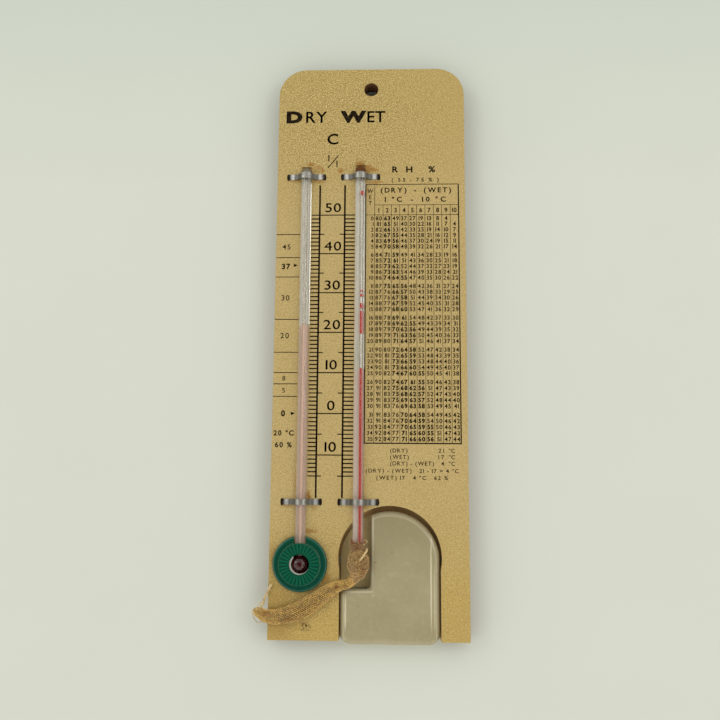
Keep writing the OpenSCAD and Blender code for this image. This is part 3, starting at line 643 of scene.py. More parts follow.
class Print:
    """Strokes and glyphs in plan, raised into one thin mesh of ink."""

    raised = 0.02

    def __init__(self):
        self.verts, self.faces, self.cache = [], [], {}

    def flat(self, points, polys):
        """One closed shape: a front, a back and a wall along its outline."""
        start, n = len(self.verts), len(points)
        for z in (FACE_Z - self.raised, FACE_Z + self.raised):
            self.verts += [(x, y, z) for x, y in points]
        ways = set()
        for poly in polys:
            self.faces.append([start + n + i for i in poly])
            self.faces.append([start + i for i in reversed(poly)])
            ways |= {(a, b) for a, b in zip(poly, poly[1:] + poly[:1])}
        for a, b in sorted(ways):
            if (b, a) not in ways:
                self.faces.append([start + a, start + b, start + n + b, start + n + a])

    def bar(self, x0, y0, x1, y1):
        """An upright rectangle between two corners."""
        self.flat([(x0, y0), (x1, y0), (x1, y1), (x0, y1)], [[0, 1, 2, 3]])

    def across(self, x0, x1, y, wide):
        """A level stroke."""
        self.bar(x0, y - wide / 2, x1, y + wide / 2)

    def down(self, x, y0, y1, wide):
        """An upright stroke."""
        self.bar(x - wide / 2, y0, x + wide / 2, y1)

    def slant(self, x0, y0, x1, y1, wide):
        """A stroke at a slant, from one end to the other."""
        span = math.hypot(x1 - x0, y1 - y0)
        dx, dy = -(y1 - y0) / span * wide / 2, (x1 - x0) / span * wide / 2
        self.flat([(x0 + dx, y0 + dy), (x0 - dx, y0 - dy), (x1 - dx, y1 - dy),
                   (x1 + dx, y1 + dy)], [[0, 1, 2, 3]])

    def glyph(self, char, weight):
        """Points, faces and width of one glyph of the built-in font, with capitals 1 high."""
        if (char, weight) not in self.cache:
            curve = bpy.data.curves.new("glyph", "FONT")
            curve.body, curve.size, curve.resolution_u = char, 1.0, 3
            curve.offset = weight
            holder = bpy.data.objects.new("glyph", curve)
            mesh = bpy.data.meshes.new_from_object(holder)
            shape = bmesh.new()
            shape.from_mesh(mesh)
            bmesh.ops.remove_doubles(shape, verts=shape.verts, dist=1e-5)
            shape.verts.index_update()
            # Height of the font's capitals at a size of 1
            cap = 0.729
            points = [(v.co.x / cap, v.co.y / cap) for v in shape.verts]
            polys = [[v.index for v in f.verts][::1 if f.normal.z > 0 else -1]
                     for f in shape.faces]
            shape.free()
            bpy.data.objects.remove(holder)
            bpy.data.curves.remove(curve)
            bpy.data.meshes.remove(mesh)
            left = min((p[0] for p in points), default=0.0)
            wide = max((p[0] for p in points), default=0.0) - left
            self.cache[char, weight] = [(x - left, y) for x, y in points], polys, wide
        return self.cache[char, weight]

    def words(self, text, x, y, high, weight=0.0, squeeze=1.0, gap=0.22, anchor=0.5):
        """A line of glyphs on a base line; anchor 0 starts it at x, 0.5 centres it, 1 ends it."""
        row, pen = [], 0.0
        for char in text:
            if char == " ":
                pen += 0.55 * squeeze
                continue
            points, polys, wide = self.glyph(char, weight)
            row.append((pen, points, polys))
            pen += wide * squeeze + gap
        left = x - anchor * (pen - gap) * high
        for at, points, polys in row:
            self.flat([(left + (at + px * squeeze) * high, y + py * high)
                       for px, py in points], polys)

    def heavy(self, text, x, y, *more, **settings):
        """A line struck twice, a little apart, for heavier strokes."""
        for step in (-0.065, 0.065):
            self.words(text, x + step, y + 0.85 * step, *more, **settings)

    def piece(self, name, finish):
        """All the strokes and glyphs so far, as one piece on the board."""
        made = new_piece(name, self.verts, self.faces, "board", finish, smooth=False)
        return made


def humidity(wet, drop):
    """Relative humidity in per cent from the wet reading and the difference, in degrees.

    The factor k is fitted to the values printed on the instrument.
    """
    def vapour(t):
        return 6.112 * math.exp(17.62 * t / (243.12 + t))
    k = 0.881 + 0.00563 * wet + 0.00052 * wet ** 2 - drop * (0.0271 + 0.000072 * wet
                                                             + 0.000076 * drop)
    return 100 * (vapour(wet) - k * drop) / vapour(wet + drop)


# The scale's two upright rules and their ends, and the lines across the left margin
DRY_RULE, WET_RULE, RULE_LOW, RULE_TOP = -21.65, -11.0, -175.3, -43.45
LEFT_LINES = (-65.2, -75.3, -83.7, -101.9, -115.8, -124.3, -129.0, -134.2)
# The numbers in the left margin: text, base line, height and weight
LEFT_NUMBERS = (
    ("45", -71.7, 2.3, 0.01), ("37", -80.2, 2.3, 0.04), ("30", -93.8, 2.4, 0.01),
    ("20", -109.9, 2.4, 0.01), ("8", -127.6, 2.0, 0.01), ("5", -132.6, 2.0, 0.01),
    ("0", ZERO_Y - 1.1, 2.4, 0.04),
)
# Space between a stem and the print beside it
PRINT_GAP = 0.2


def print_scale(ink, numeral):
    """The scale between the stems, and the lines and numbers left of the dry stem."""
    for rule in (DRY_RULE, WET_RULE):
        ink.down(rule, RULE_LOW, RULE_TOP, 0.74)
    dry_edge, wet_edge = DRY_X + STEM_R + PRINT_GAP, WET_X - STEM_R - PRINT_GAP
    for t in range(-15, 51):
        y = ZERO_Y + t * DEGREE
        wide = 0.56 if t % 5 else 0.46
        if t % 10:
            inside = 0 if t % 5 else 2.1
            ink.across(dry_edge, DRY_RULE + inside, y, wide)
            ink.across(WET_RULE - inside, wet_edge, y, wide)
        else:
            ink.across(dry_edge, wet_edge, y, wide)
            ink.heavy(str(abs(t)), (DRY_RULE + WET_RULE) / 2 + 0.35, y + 1.35, numeral,
                      squeeze=1.22, gap=0.2)
    for y in LEFT_LINES:
        ink.across(LEFT_X + 0.1, DRY_X - STEM_R - 0.3, y, 0.32)
    for text, y, high, weight in LEFT_NUMBERS:
        ink.words(text, -35.6, y, high, weight)
    # Pointers at 37 and at zero
    for y in (ZERO_Y + 37 * DEGREE, ZERO_Y):
        ink.flat([(-32.4, y - 0.75), (-30.7, y), (-32.4, y + 0.75)], [[0, 1, 2]])
    for text, y in (("20 °C", -150.2), ("60 %", -155.0)):
        ink.words(text, -35.2, y, 2.1, 0.03)


# Values of the table that are printed heavier, and the lowest one that is printed
HEAVY, LOWEST = range(55, 76), 4


def print_heads(ink):
    """Words over the stems and the unit of the scale."""
    for text, start, wide, squeeze, rest in (("D", -36.8, 7.4, 1.36, "RY"),
                                             ("W", -13.4, 10.6, 1.36, "ET")):
        ink.words(text, start, -14.8, 5.0, 0.062, squeeze=squeeze, anchor=0.0)
        ink.heavy(rest, start + wide + 1.2, -15.0, 5.3, 0.006, squeeze=1.02, gap=0.06, anchor=0.0)
    ink.heavy("C", -16.5, -24.9, 4.9, 0.012, squeeze=1.08)
    ink.words("1", -18.1, -32.6, 3.0, 0.01)
    ink.words("1", -14.6, -35.2, 3.0, 0.01)
    ink.slant(-18.5, -35.6, -13.9, -30.0, 0.4)
    ink.words("R H   %", 18.3, -37.8, 2.7, 0.03, squeeze=1.15, gap=0.6)
    ink.words(f"( {HEAVY[0]} - {HEAVY[-1]} % )", 18.9, -42.0, 1.75, 0.016, gap=0.6)


# The table's frame, the lines under its two heads and right of its first column
TABLE_LEFT, TABLE_RIGHT, TABLE_TOP, TABLE_LOW = -2.1, 37.2, -43.2, -153.2
HEAD_Y, DIGITS_Y, FIRST_X = -52.3, -56.7, 1.7
# From one row to the next, and across the space after every fifth
ROW_STEP, GROUP_STEP = 2.47, 3.6


def print_table(ink):
    """Table of relative humidity: wet reading down the side, difference along the top."""
    ink.across(TABLE_LEFT, TABLE_RIGHT, TABLE_TOP, 0.3)
    ink.across(TABLE_LEFT - 0.2, TABLE_RIGHT + 0.25, TABLE_LOW, 0.5)
    ink.down(TABLE_LEFT, TABLE_LOW, TABLE_TOP, 0.4)
    ink.down(TABLE_RIGHT, TABLE_LOW, TABLE_TOP, 0.5)
    ink.down(FIRST_X, TABLE_LOW, TABLE_TOP, 0.2)
    ink.across(FIRST_X, TABLE_RIGHT, HEAD_Y, 0.2)
    ink.across(TABLE_LEFT, TABLE_RIGHT, DIGITS_Y, 0.22)
    ink.words("(DRY)  -  (WET)", 19.2, -46.8, 2.2, 0.026, squeeze=1.05, gap=0.3)
    ink.words("1 °C  -  10 °C", 18.9, -50.9, 2.2, 0.026, squeeze=1.1, gap=0.5)
    for i, char in enumerate("WET"):
        ink.words(char, -0.2, -47.0 - 2.7 * i, 1.9, 0.012, squeeze=0.85)
    step = (TABLE_RIGHT - FIRST_X) / 10
    centres = [FIRST_X + step * (i + 0.5) for i in range(10)]
    for i, x in enumerate(centres):
        if i:
            ink.down(x - step / 2, TABLE_LOW, HEAD_Y, 0.2)
        ink.words(str(i + 1), x, -55.6, 2.0, 0.026, squeeze=0.95, gap=0.12)
    y = -58.2
    for wet in range(36):
        ink.words(str(wet), FIRST_X - 0.45, y - 0.85, 1.7, 0.02, gap=0.14, anchor=1.0)
        for i, x in enumerate(centres):
            value = round(humidity(wet, i + 1))
            if value >= LOWEST:
                weight, gap = (0.045, 0.12) if value in HEAVY else (0.024, 0.16)
                ink.words(str(value), x, y - 0.9, 1.84, weight, squeeze=0.98, gap=gap)
        y -= GROUP_STEP if wet in (5, 10, 15, 20, 25, 30) else ROW_STEP


def print_example(ink):
    """Worked example under the table, in numbers and units, with the table's own result."""
    dry, wet = 21, 17
    drop = dry - wet
    label_left, number_right, unit_right = 8.4, 30.2, 34.6
    for y, label, number in ((-156.9, "(DRY)", dry), (-159.5, "(WET)", wet),
                             (-162.1, "(DRY) - (WET)", drop)):
        ink.words(label, label_left, y, 1.7, 0.012, gap=0.2, anchor=0.0)
        ink.words(str(number), number_right, y, 1.7, 0.012, gap=0.5, anchor=1.0)
        ink.words("°C", unit_right, y, 1.7, 0.012, gap=0.15, anchor=1.0)
    ink.words(f"(DRY) - (WET)   {dry} - {wet} = {drop} °C", 17.3, -165.0, 1.6, 0.012,
              squeeze=1.06, gap=0.26)
    ink.words(f"(WET) {wet}   {drop} °C   {round(humidity(wet, drop))} %", 17.3, -167.8, 1.6,
              0.016, squeeze=1.06, gap=0.3)


# Wick


def unit(rows):
    """Each row as a direction, one long."""
    return rows / np.linalg.norm(rows, axis=-1, keepdims=True)


def smooth(line, steps):
    """Points through a route, by Catmull-Rom curves."""
    line = np.asarray(line, float)
    out = []
    for i in range(len(line) - 1):
        a, b, c, d = (line[min(max(k, 0), len(line) - 1)] for k in (i - 1, i, i + 1, i + 2))
        for j in range(steps):
            t = j / steps
            out.append(0.5 * (2 * b + (c - a) * t + (2 * a - 5 * b + 4 * c - d) * t * t
                              + (3 * b - a - 3 * c + d) * t ** 3))
    return np.array(out + [line[-1]])


class Sock:
    """A soft tube along a line: rows of x, y, z, width and thickness."""

    def __init__(self, rows, fold=0.0, fold_at=0.0, twist=0.0, gathers=0.0):
        self.rows = smooth(rows, 6)
        steps = np.linalg.norm(np.diff(self.rows[:, :3], axis=0), axis=1)
        self.at = np.concatenate([[0.0], np.cumsum(steps)])
        self.length = self.at[-1]
        self.fold, self.fold_at, self.twist, self.gathers = fold, fold_at, twist, gathers

    def look_up(self, v):
        """The row at a distance along the line, and the ways across the tube and up."""
        v = np.clip(v, 0.0, self.length)
        row = np.stack([np.interp(v, self.at, self.rows[:, k]) for k in range(5)], axis=-1)
        ahead, back = np.clip(v + 0.25, 0, self.length), np.clip(v - 0.25, 0, self.length)
        line = [np.stack([np.interp(w, self.at, self.rows[:, k]) for k in range(3)], axis=-1)
                for w in (ahead, back)]
        along = unit(line[0] - line[1])
        side = unit(np.cross(along, [0.0, 0.0, 1.0]))
        return row, side, np.cross(side, along)

    def points(self, v, angle, lift=0.0):
        """Points on the tube and the way out of it."""
        row, side, up = self.look_up(v)
        share = np.clip(v / self.length, 0, 1)
        angle = angle + self.twist * share
        wide, thick = row[..., 3] / 2, row[..., 4] / 2
        c, s = np.cos(angle), np.sin(angle)
        valley = self.fold_at + 0.3 * np.sin(5.0 * share)
        crease = 1 - (self.fold * np.exp(-((c - valley) / 0.2) ** 2) * (s > 0)
                      * np.clip(6 * share, 0, 1) * np.clip(6 * (1 - share), 0, 1))
        wave = (0.06 * np.sin(3 * angle + 9.0 * share) + 0.05 * np.sin(7 * angle - 23.0 * share)
                + 0.04 * np.sin(5 * angle + 61.0 * share)
                - self.gathers * (0.5 + 0.5 * np.cos(9 * angle)) * np.exp(-v / 3.2))
        out = unit((c / wide)[..., None] * side + (s / (thick * crease))[..., None] * up)
        reach = 1 + wave * 0.6
        spot = (row[..., :3] + (wide * c * reach)[..., None] * side
                + (thick * s * crease * reach)[..., None] * up)
        return spot + out * np.asarray(lift)[..., None], out

    def knit(self, wales, pitch, yarn, sides):
        """Plain knitting: each course is a closed ring of loops, one to a wale."""
        courses = max(2, int(round(self.length / pitch)))
        per_wale = 10
        samples = wales * per_wale
        q = np.linspace(0, 2 * math.pi * wales, samples, endpoint=False)
        rng = np.random.default_rng(7)
        rings = []
        for j in range(courses):
            mid = (j + 0.5) * self.length / courses
            jitter = 0.06 * rng.standard_normal(wales).repeat(per_wale)
            angle = (q + 1.15 * np.sin(2 * q)) / wales
            v = mid - pitch * (0.92 + jitter) * np.cos(q)
            v = np.clip(v, 0.0, self.length)
            lift = yarn * (0.42 * np.cos(2 * q) + 0.25 * jitter)
            line, out = self.points(v, angle, lift)
            ahead = unit(np.roll(line, -1, axis=0) - np.roll(line, 1, axis=0))
            across = unit(np.cross(ahead, out))
            rise = np.cross(across, ahead)
            around = np.linspace(0, 2 * math.pi, sides, endpoint=False)
            ring = (np.cos(around)[None, :, None] * rise[:, None]
                    + np.sin(around)[None, :, None] * across[:, None])
            rings.append(line[:, None] + yarn / 2 * ring)
        verts = np.concatenate([r.reshape(-1, 3) for r in rings])
        faces = []
        for j in range(courses):
            base = j * samples * sides
            for i in range(samples):
                here, there = base + i * sides, base + ((i + 1) % samples) * sides
                for k in range(sides):
                    m = (k + 1) % sides
                    faces.append((here + k, there + k, there + m, here + m))
        return verts, faces

    def lining(self, around, steps, outer, inner):
        """Closed thin-walled tube behind the stitches."""
        angle = np.linspace(0, 2 * math.pi, around, endpoint=False)
        v = np.linspace(0.0, self.length, steps)
        skins = []
        for lift, order in ((outer, v), (inner, v[::-1])):
            for w in order:
                skins.append(self.points(np.full(around, w), angle, np.full(around, lift))[0])
        verts = np.concatenate(skins)
        faces = []
        rows = len(skins)
        for i in range(rows):
            a, b = i * around, (i + 1) % rows * around
            for k in range(around):
                m = (k + 1) % around
                faces.append((a + k, a + m, b + m, b + k))
        return verts, faces


def knitted(name, sock, settings, wales, finishes):
    """A knitted piece: its stitches over its lining, as one mesh with two finishes."""
    pitch, outer, inner = settings.stitch / MM * 0.74, -0.32, -0.6
    verts, faces = sock.knit(wales, pitch, settings.yarn / MM, settings.sides)
    back, back_faces = sock.lining(36, max(12, int(sock.length * 2)), outer, inner)
    start = len(verts)
    faces += [tuple(start + i for i in f) for f in back_faces]
    made = new_piece(name, np.concatenate([verts, back]), faces, "board", *finishes)
    index = [0] * (len(faces) - len(back_faces)) + [1] * len(back_faces)
    made.data.polygons.foreach_set("material_index", index)
    made.data.update()
    return made


def plied(line, thick, plies=2, sides=6):
    """A twisted thread along a line: plies that wind round each other and thin at the ends."""
    line, lay, thinned = np.asarray(line, float), 2.5 * thick, 0.5
    ahead = unit(np.gradient(line, axis=0))
    far = np.concatenate([[0.0], np.cumsum(np.linalg.norm(np.diff(line, axis=0), axis=1))])
    side = np.cross(ahead, [0.0, 0.0, 1.0])
    flat = np.linalg.norm(side, axis=1) < 0.05
    side[flat] = np.cross(ahead[flat], [0.0, 1.0, 0.0])
    side = unit(side)
    up = np.cross(side, ahead)
    verts, faces = [], []
    for p in range(plies):
        turn = 2 * math.pi * (far / lay + p / plies)
        taper = np.clip(np.minimum(far, far[-1] - far) / thinned + 0.35, 0, 1)
        mid = line + thick * 0.23 * (np.cos(turn)[:, None] * side + np.sin(turn)[:, None] * up)
        start = len(verts)
        for k in range(sides):
            a = 2 * math.pi * k / sides
            ring = mid + (thick * 0.27 * taper)[:, None] * (math.cos(a) * side + math.sin(a) * up)
            verts.extend(ring.tolist())
        n = len(line)
        for k in range(sides):
            a, b = start + k * n, start + (k + 1) % sides * n
            faces += [(a + i, a + i + 1, b + i + 1, b + i) for i in range(n - 1)]
        faces.append(tuple(start + k * n for k in range(sides)))
        faces.append(tuple(start + k * n + n - 1 for k in reversed(range(sides))))
    return verts, faces


def thread_piece(name, threads, finish):
    """Several plied threads, each a line and its thickness, as one piece."""
    verts, faces = [], []
    for line, thick in threads:
        more, more_faces = plied(line, thick)
        start = len(verts)
        verts += more
        faces += [tuple(start + i for i in f) for f in more_faces]
    return new_piece(name, verts, faces, "board", finish)


# The wick's free end, from the sleeve to the knot: x and y from the wet bulb's centre and
# height over the board's face, then width and thickness, as in the part's source
TAIL = [
    (-1.8, -5.5, 1.2, 3.6, 2.4), (-2.4, -6.5, 1.25, 3.7, 2.4), (-3.8, -7.3, 1.3, 3.9, 2.4),
    (-6.6, -8.1, 1.4, 4.2, 2.4), (-10.1, -9.6, 1.5, 5.2, 2.6), (-13.6, -11.8, 1.55, 6.2, 2.8),
    (-17.6, -14.6, 1.6, 7.0, 2.9), (-21.6, -17.0, 1.6, 7.2, 2.9), (-25.6, -18.8, 1.6, 7.0, 2.9),
    (-29.6, -20.0, 1.6, 6.4, 2.8), (-33.1, -20.5, 1.5, 5.8, 2.6), (-36.1, -20.1, 1.4, 5.2, 2.4),
    (-38.4, -19.2, 1.1, 4.4, 2.2), (-40.2, -18.2, 0.8, 3.4, 2.0),
]
# The threads that leave the knot, each with its thickness: a heavy one, a thin one and a loop
LOOSE = [
    ([(-38.6, -18.2, 0.8), (-38.2, -17.3, 0.9), (-37.2, -14.6, 0.9), (-36.1, -11.8, 0.8),
      (-35.1, -9.7, 0.75), (-34.0, -7.6, 0.75)], 1.2),
    ([(-41.2, -18.2, 0.9), (-40.6, -17.4, 1.1), (-39.4, -16.2, 1.2), (-37.9, -14.6, 1.1)], 0.42),
    ([(-41.2, -18.0, 0.7), (-41.6, -18.6, 0.6), (-41.4, -19.9, 0.4), (-40.9, -21.3, 0.3),
      (-39.3, -22.9, 0.2), (-37.9, -22.2, 0.4), (-37.6, -21.3, 0.7)], 0.42),
]
# The sleeve, down from the neck and round under the bulb: x and y from the bulb's centre,
# height over the stem's axis, then width and thickness
SLEEVE = [
    (0.0, 8.6, 0.0, 5.7, 5.7), (0.0, 7.6, 0.0, 5.3, 5.3), (0.0, 6.2, 0.0, 5.4, 5.4),
    (0.0, 4.6, 0.0, 6.3, 6.3), (0.0, 2.6, 0.0, 8.2, 8.2), (0.0, 0.4, 0.0, 8.8, 8.7),
    (0.0, -1.8, 0.0, 8.2, 8.2), (-0.3, -3.5, 0.1, 6.6, 6.8), (-0.9, -4.7, 0.3, 5.0, 5.0),
    (-1.6, -5.6, 0.5, 3.9, 3.2), (-2.3, -6.4, 0.7, 3.7, 2.5),
]


def from_bulb(rows, height):
    """Rows of a route in the frame's place."""
    return [(WET_X + r[0], BULB_Y + r[1], height + r[2], *r[3:]) for r in rows]


def drawn_in(rows, by):
    """Rows with their width and thickness made less."""
    return [(*r[:3], r[3] - by, r[4] - by) for r in rows]


def knot_line():
    """A tight overhand knot at the tail's end, as a small closed trefoil."""
    centre, size = np.array([WET_X - 40.3, BULB_Y - 18.4, FACE_Z + 0.8]), 0.38
    t = np.linspace(0.0, 2 * math.pi, 90, endpoint=False)
    loop = np.stack([np.sin(t) + 2 * np.sin(2 * t), np.cos(t) - 2 * np.cos(2 * t),
                     -np.sin(3 * t) * 1.3], axis=-1)
    return centre + np.concatenate([loop, loop[:1]]) * size


# Operators


class PSYCHROMETER_OT_stage(Operator):
    """Makes the camera, the floor, the room's light and the lamps"""
    bl_idname = "psychrometer.stage"
    bl_label = "Stage"

    def execute(self, context):
        scene, settings = context.scene, context.scene.psychrometer_stage
        where, target = Vector((7.7, -165.7, 326.9)), Vector((-4.1, -119.0, 8.0))
        up, back = Vector((-0.007, 1.0, 0.0)), (where - target).normalized()
        right = up.cross(back).normalized()
        camera = bpy.data.objects.new("Camera", bpy.data.cameras.new("Camera"))
        camera.matrix_world = Matrix.Translation(where * MM) @ Matrix(
            (right, back.cross(right), back)).transposed().to_4x4()
        camera.data.lens, camera.data.sensor_width = settings.lens, 36.0
        camera.data.clip_start = 0.01
        scene.collection.objects.link(camera)
        scene.camera = camera
        self.lamp(scene, "Left", (-0.9, 0.3, 0.9), 0.3, settings.sides)
        self.lamp(scene, "Right", (0.9, 0.1, 0.9), 0.3, settings.sides)
        self.sky(scene, settings)
        floor = bpy.data.meshes.new("Floor")
        half, low = 1.5, -0.0002
        floor.from_pydata([(-half, -half, low), (half, -half, low), (half, half, low),
                           (-half, half, low)], [], [(0, 1, 2, 3)])
        floor.materials.append(matt_floor(settings))
        ground = bpy.data.objects.new("Floor", floor)
        scene.collection.objects.link(ground)
        scene.view_settings.view_transform = "Standard"
        return {"FINISHED"}

    def lamp(self, scene, name, at, size, power):
        """A square lamp aimed at the middle of the board."""
        lamp = bpy.data.lights.new(name, "AREA")
        lamp.size, lamp.energy = size, power
        held = bpy.data.objects.new(name, lamp)
        held.location = at
        aim = Vector((0.0, -0.11, 0.0)) - Vector(at)
        held.rotation_euler = aim.to_track_quat("-Z", "Y").to_euler()
        scene.collection.objects.link(held)

    def sky(self, scene, settings):
        """Even light from the walls, dimmer from straight overhead."""
        world = bpy.data.worlds.new("Sky")
        world.use_nodes = True
        tree = world.node_tree
        tree.nodes.clear()
        up = add(tree, "SeparateXYZ", {0: add(tree, "TexCoord")["Generated"]})["Z"]
        level = add(tree, "MapRange", {0: up, 1: 0.78, 2: 0.97, 3: settings.walls,
                                       4: settings.ceiling}, interpolation_type="SMOOTHSTEP")[0]
        room = add(tree, "Background", {"Color": hexa("#FFFDF6"), "Strength": level})[0]
        add(tree, "OutputWorld", {"Surface": room})
        scene.world = world


class PSYCHROMETER_OT_wick(Operator):
    """Knits the sleeve and the tail, winds the tie and lays the knot and the loose threads"""
    bl_idname = "psychrometer.wick"
    bl_label = "Wick"

    def execute(self, context):
        settings = context.scene.psychrometer_wick
        yarn = cotton("Cotton yarn, knitted", solid(settings.cotton), settings, matted=0.65)
        # The lining behind the stitches is painted shade for the gaps between them
        inside = cotton("Cotton, inside, painted shade", solid(settings.shade), settings)
        thread = cotton("Cotton thread, plied", solid(settings.thread), settings)
        tie_thread = cotton("Cotton thread, rust stained", solid(settings.tie), settings)

        # The loops stand out from the line they are knitted on, so it is drawn in by them
        inset = 1.6 * settings.yarn / MM
        tail = Sock(drawn_in(from_bulb(TAIL, FACE_Z), inset), fold=0.4, fold_at=-0.25, twist=0.7)
        mean_wide, sleeve_wales = 5.2, 22
        wales = int(round(math.pi * mean_wide / (settings.stitch / MM)))
        tail_piece = knitted("wick_tail_knit", tail, settings, wales, (yarn, inside))
        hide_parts("wick_tail")

        sleeve = Sock(drawn_in(from_bulb(SLEEVE, STEM_Z), 0.3), gathers=0.1)
        washed = cotton("Cotton yarn, matted", solid(settings.sleeve), settings, matted=0.95)
        sleeve_piece = knitted("wick_sleeve_knit", sleeve, settings, sleeve_wales,
                               (washed, inside))
        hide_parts("wick_sleeve")

        turns, top, pitch, reach = 3, 8.2, 0.95, 3.0
        a = np.linspace(0, 2 * math.pi * turns, 72 * turns)
        helix = np.stack([WET_X + reach * np.cos(a), BULB_Y + top - pitch * a / (2 * math.pi),
                          STEM_Z + reach * np.sin(a)], axis=-1)
        on_stem = np.array([WET_X, 0.0, STEM_Z])
        # A cut end of the tie stands out to the lower left of the neck, the other is a loop
        ends = [(smooth(np.array(route) + on_stem, 8), thick) for route, thick in (
            ([(3.0, -195.0, 0.0), (3.6, -195.3, 1.1), (3.4, -195.9, 2.1), (2.7, -196.9, 3.1),
              (1.9, -198.0, 3.9), (1.0, -199.2, 4.5)], 0.95),
            ([(3.0, -193.0, 0.0), (3.7, -192.5, 0.7), (3.2, -191.7, 1.5), (2.3, -191.9, 2.2),
              (2.1, -192.9, 2.6), (2.8, -193.6, 2.4)], 0.45))]
        tie = thread_piece("wick_tie_thread", [(helix, 0.52)], tie_thread)
        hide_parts("wick_tie")
        thread_piece("wick_tie_ends", ends, thread)
        rng = np.random.default_rng(11)
        frayed, strands = [], 22
        foot = on_stem + (0.0, -193.2, 0.0)
        for i in range(strands):
            a = 2 * math.pi * (i + rng.uniform(-0.3, 0.3)) / strands
            out = np.array([math.cos(a), 0.0, math.sin(a)])
            lean = np.array([-out[2], 0.0, out[0]]) * rng.uniform(-0.5, 0.5)
            rise = rng.uniform(0.9, 2.1)
            middle = foot + out * 2.75 + lean * 0.4 + (0.0, rise * 0.6, 0.0)
            tip = foot + out * rng.uniform(2.6, 3.2) + lean + (0.0, rise, 0.0)
            frayed.append((smooth([foot + out * 2.5, middle, tip], 6), 0.38))
        thread_piece("wick_sleeve_frayed_rim", frayed, tie_thread)

        knot = thread_piece("wick_knot_yarn", [(knot_line(), 0.9)], thread)
        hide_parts("wick_knot")

        loose = [(smooth(from_bulb(route, FACE_Z), 8), thick) for route, thick in LOOSE]
        threads = thread_piece("loose_thread_ends", loose, thread)
        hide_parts("loose_threads")

        return {"FINISHED"}


class PSYCHROMETER_OT_board(Operator):
    """Finishes the core and its embossed sheet, and prints the scale, the table and the words"""
    bl_idname = "psychrometer.board"
    bl_label = "Board and print"

    def execute(self, context):
        settings = context.scene.psychrometer_face
        dress("backboard", hardboard(settings))
        dress("face_sheet", vinyl(settings))
        self.backing(brown_paper(settings))
        finish = screen_ink(settings)
        for name, draw in (("scale_print", lambda ink: print_scale(ink, settings.numeral / MM)),
                           ("heading_print", print_heads), ("table_print", print_table),
                           ("example_print", print_example)):
            ink = Print()
            draw(ink)
            ink.piece(name, finish)
        return {"FINISHED"}

    def backing(self, finish):
        """Thin paper across the bay, behind the tank."""
        half, foot, over, under = BAY_W / 2, BOTTOM_Y + 0.3, 0.3, 0.05
        rim = [(BAY_X + BAY_R * math.cos(a), BAY_Y + BAY_R * math.sin(a))
               for a in np.linspace(0.0, math.pi, 49)]
        rim += [(BAY_X - half, BAY_Y), (BAY_X - half, foot), (BAY_X + half, foot),
                (BAY_X + half, BAY_Y)]
        n = len(rim)
        verts = [(x, y, z) for z in (over, under) for x, y in rim]
        faces = [tuple(range(n)), tuple(reversed(range(n, 2 * n)))]
        faces += [((i + 1) % n, i, n + i, n + (i + 1) % n) for i in range(n)]
        new_piece("bay_backing_paper", verts, faces, "board", finish, smooth=False)


class PSYCHROMETER_OT_thermometers(Operator):
    """Finishes the stems, their enamel strips and their spirit"""
    bl_idname = "psychrometer.thermometers"
    bl_label = "Thermometers"

    def execute(self, context):
        settings = context.scene.psychrometer_stems
        glass = drawn_glass()
        for side in ("dry", "wet"):
            dress(side + "_glass", glass)
            # Spirit wets its bore: the skin goes into the glass, so no film of air shows
            wall = NODES[side + "_spirit"].modifiers.new("Wetted bore", "DISPLACE")
            wall.mid_level, wall.strength = 0.0, 0.05 * MM
        dress("dry_enamel", fused_enamel("Opal enamel, dry", ZERO_Y + 22 * DEGREE,
                                         hexa("#FCE4CA"), settings))
        dress("wet_enamel", fused_enamel("Opal enamel, wet", ZERO_Y + 11 * DEGREE,
                                         hexa("#FFF0DE"), settings))
        # Each spirit's rim colour is its painted edge light and shade
        dress("wet_spirit", dyed_spirit("Dyed spirit", WET_X + 0.5, solid(settings.column),
                                        hexa("#F2A494"), settings))
        dress("dry_spirit", dyed_spirit("Dyed spirit, faded", DRY_X, solid(settings.faded),
                                        hexa("#D8AE9A"), settings))
        return {"FINISHED"}


class PSYCHROMETER_OT_fittings(Operator):
    """Finishes the clips, the bulb guard and its liner"""
    bl_idname = "psychrometer.fittings"
    bl_label = "Clips and guard"

    def execute(self, context):
        settings = context.scene.psychrometer_fittings
        plate = nickel_plate(settings)
        for side in ("dry", "wet"):
            for end in ("upper", "lower"):
                dress(f"{side}_{end}_clip", plate)
        dress("bulb_guard", moulded_green(settings))
        dress("bulb_liner", white_card(settings))
        return {"FINISHED"}


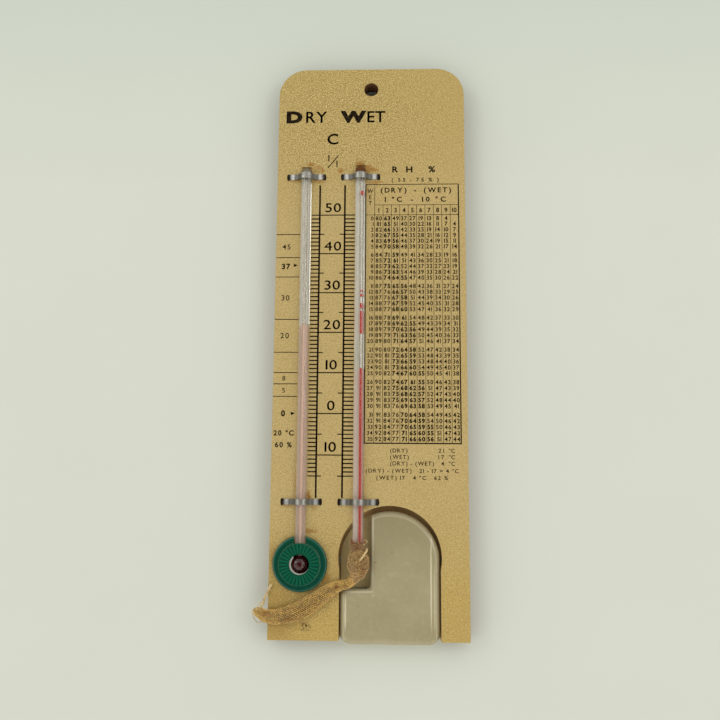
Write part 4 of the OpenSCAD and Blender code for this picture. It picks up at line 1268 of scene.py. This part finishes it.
class PSYCHROMETER_OT_tank(Operator):
    """Finishes the tank's shell and its back plate"""
    bl_idname = "psychrometer.tank"
    bl_label = "Tank"

    def execute(self, context):
        settings = context.scene.psychrometer_tank
        dress("tank_shell", milky_plastic("Polyethylene, milky", settings))
        dress("tank_back", milky_plastic("Polyethylene, stained", settings, hexa("#DCC88E")))
        return {"FINISHED"}


OPERATORS = (
    PSYCHROMETER_OT_stage, PSYCHROMETER_OT_wick, PSYCHROMETER_OT_board,
    PSYCHROMETER_OT_thermometers, PSYCHROMETER_OT_fittings, PSYCHROMETER_OT_tank,
)
SETTINGS = {
    "psychrometer_stage": StageSettings, "psychrometer_wick": WickSettings,
    "psychrometer_face": FaceSettings, "psychrometer_stems": StemSettings,
    "psychrometer_fittings": FittingSettings, "psychrometer_tank": TankSettings,
}


class PSYCHROMETER_PT_panel(Panel):
    """Lists the operators and their settings"""
    bl_idname = "PSYCHROMETER_PT_panel"
    bl_label = "Psychrometer"
    bl_space_type = "VIEW_3D"
    bl_region_type = "UI"
    bl_category = "Psychrometer"

    def draw(self, context):
        for operator in OPERATORS:
            self.layout.operator(operator.bl_idname)
        for name, group in SETTINGS.items():
            box = self.layout.box()
            box.label(text=group.__doc__)
            for key in group.__annotations__:
                box.prop(getattr(context.scene, name), key)


def register():
    """Registers the settings, the operators and the panel."""
    for group in SETTINGS.values():
        bpy.utils.register_class(group)
    for name, group in SETTINGS.items():
        setattr(bpy.types.Scene, name, PointerProperty(type=group))
    for made in (*OPERATORS, PSYCHROMETER_PT_panel):
        bpy.utils.register_class(made)


def unregister():
    """Takes them out again, the last one first."""
    for made in reversed((*OPERATORS, PSYCHROMETER_PT_panel)):
        bpy.utils.unregister_class(made)
    for name, group in reversed(SETTINGS.items()):
        delattr(bpy.types.Scene, name)
        bpy.utils.unregister_class(group)


def main():
    """Registers the operators and runs each of them to dress the frame."""
    register()
    for step in ("stage", "wick", "board", "thermometers", "fittings", "tank"):
        getattr(bpy.ops.psychrometer, step)()


if __name__ == "__main__":
    main()
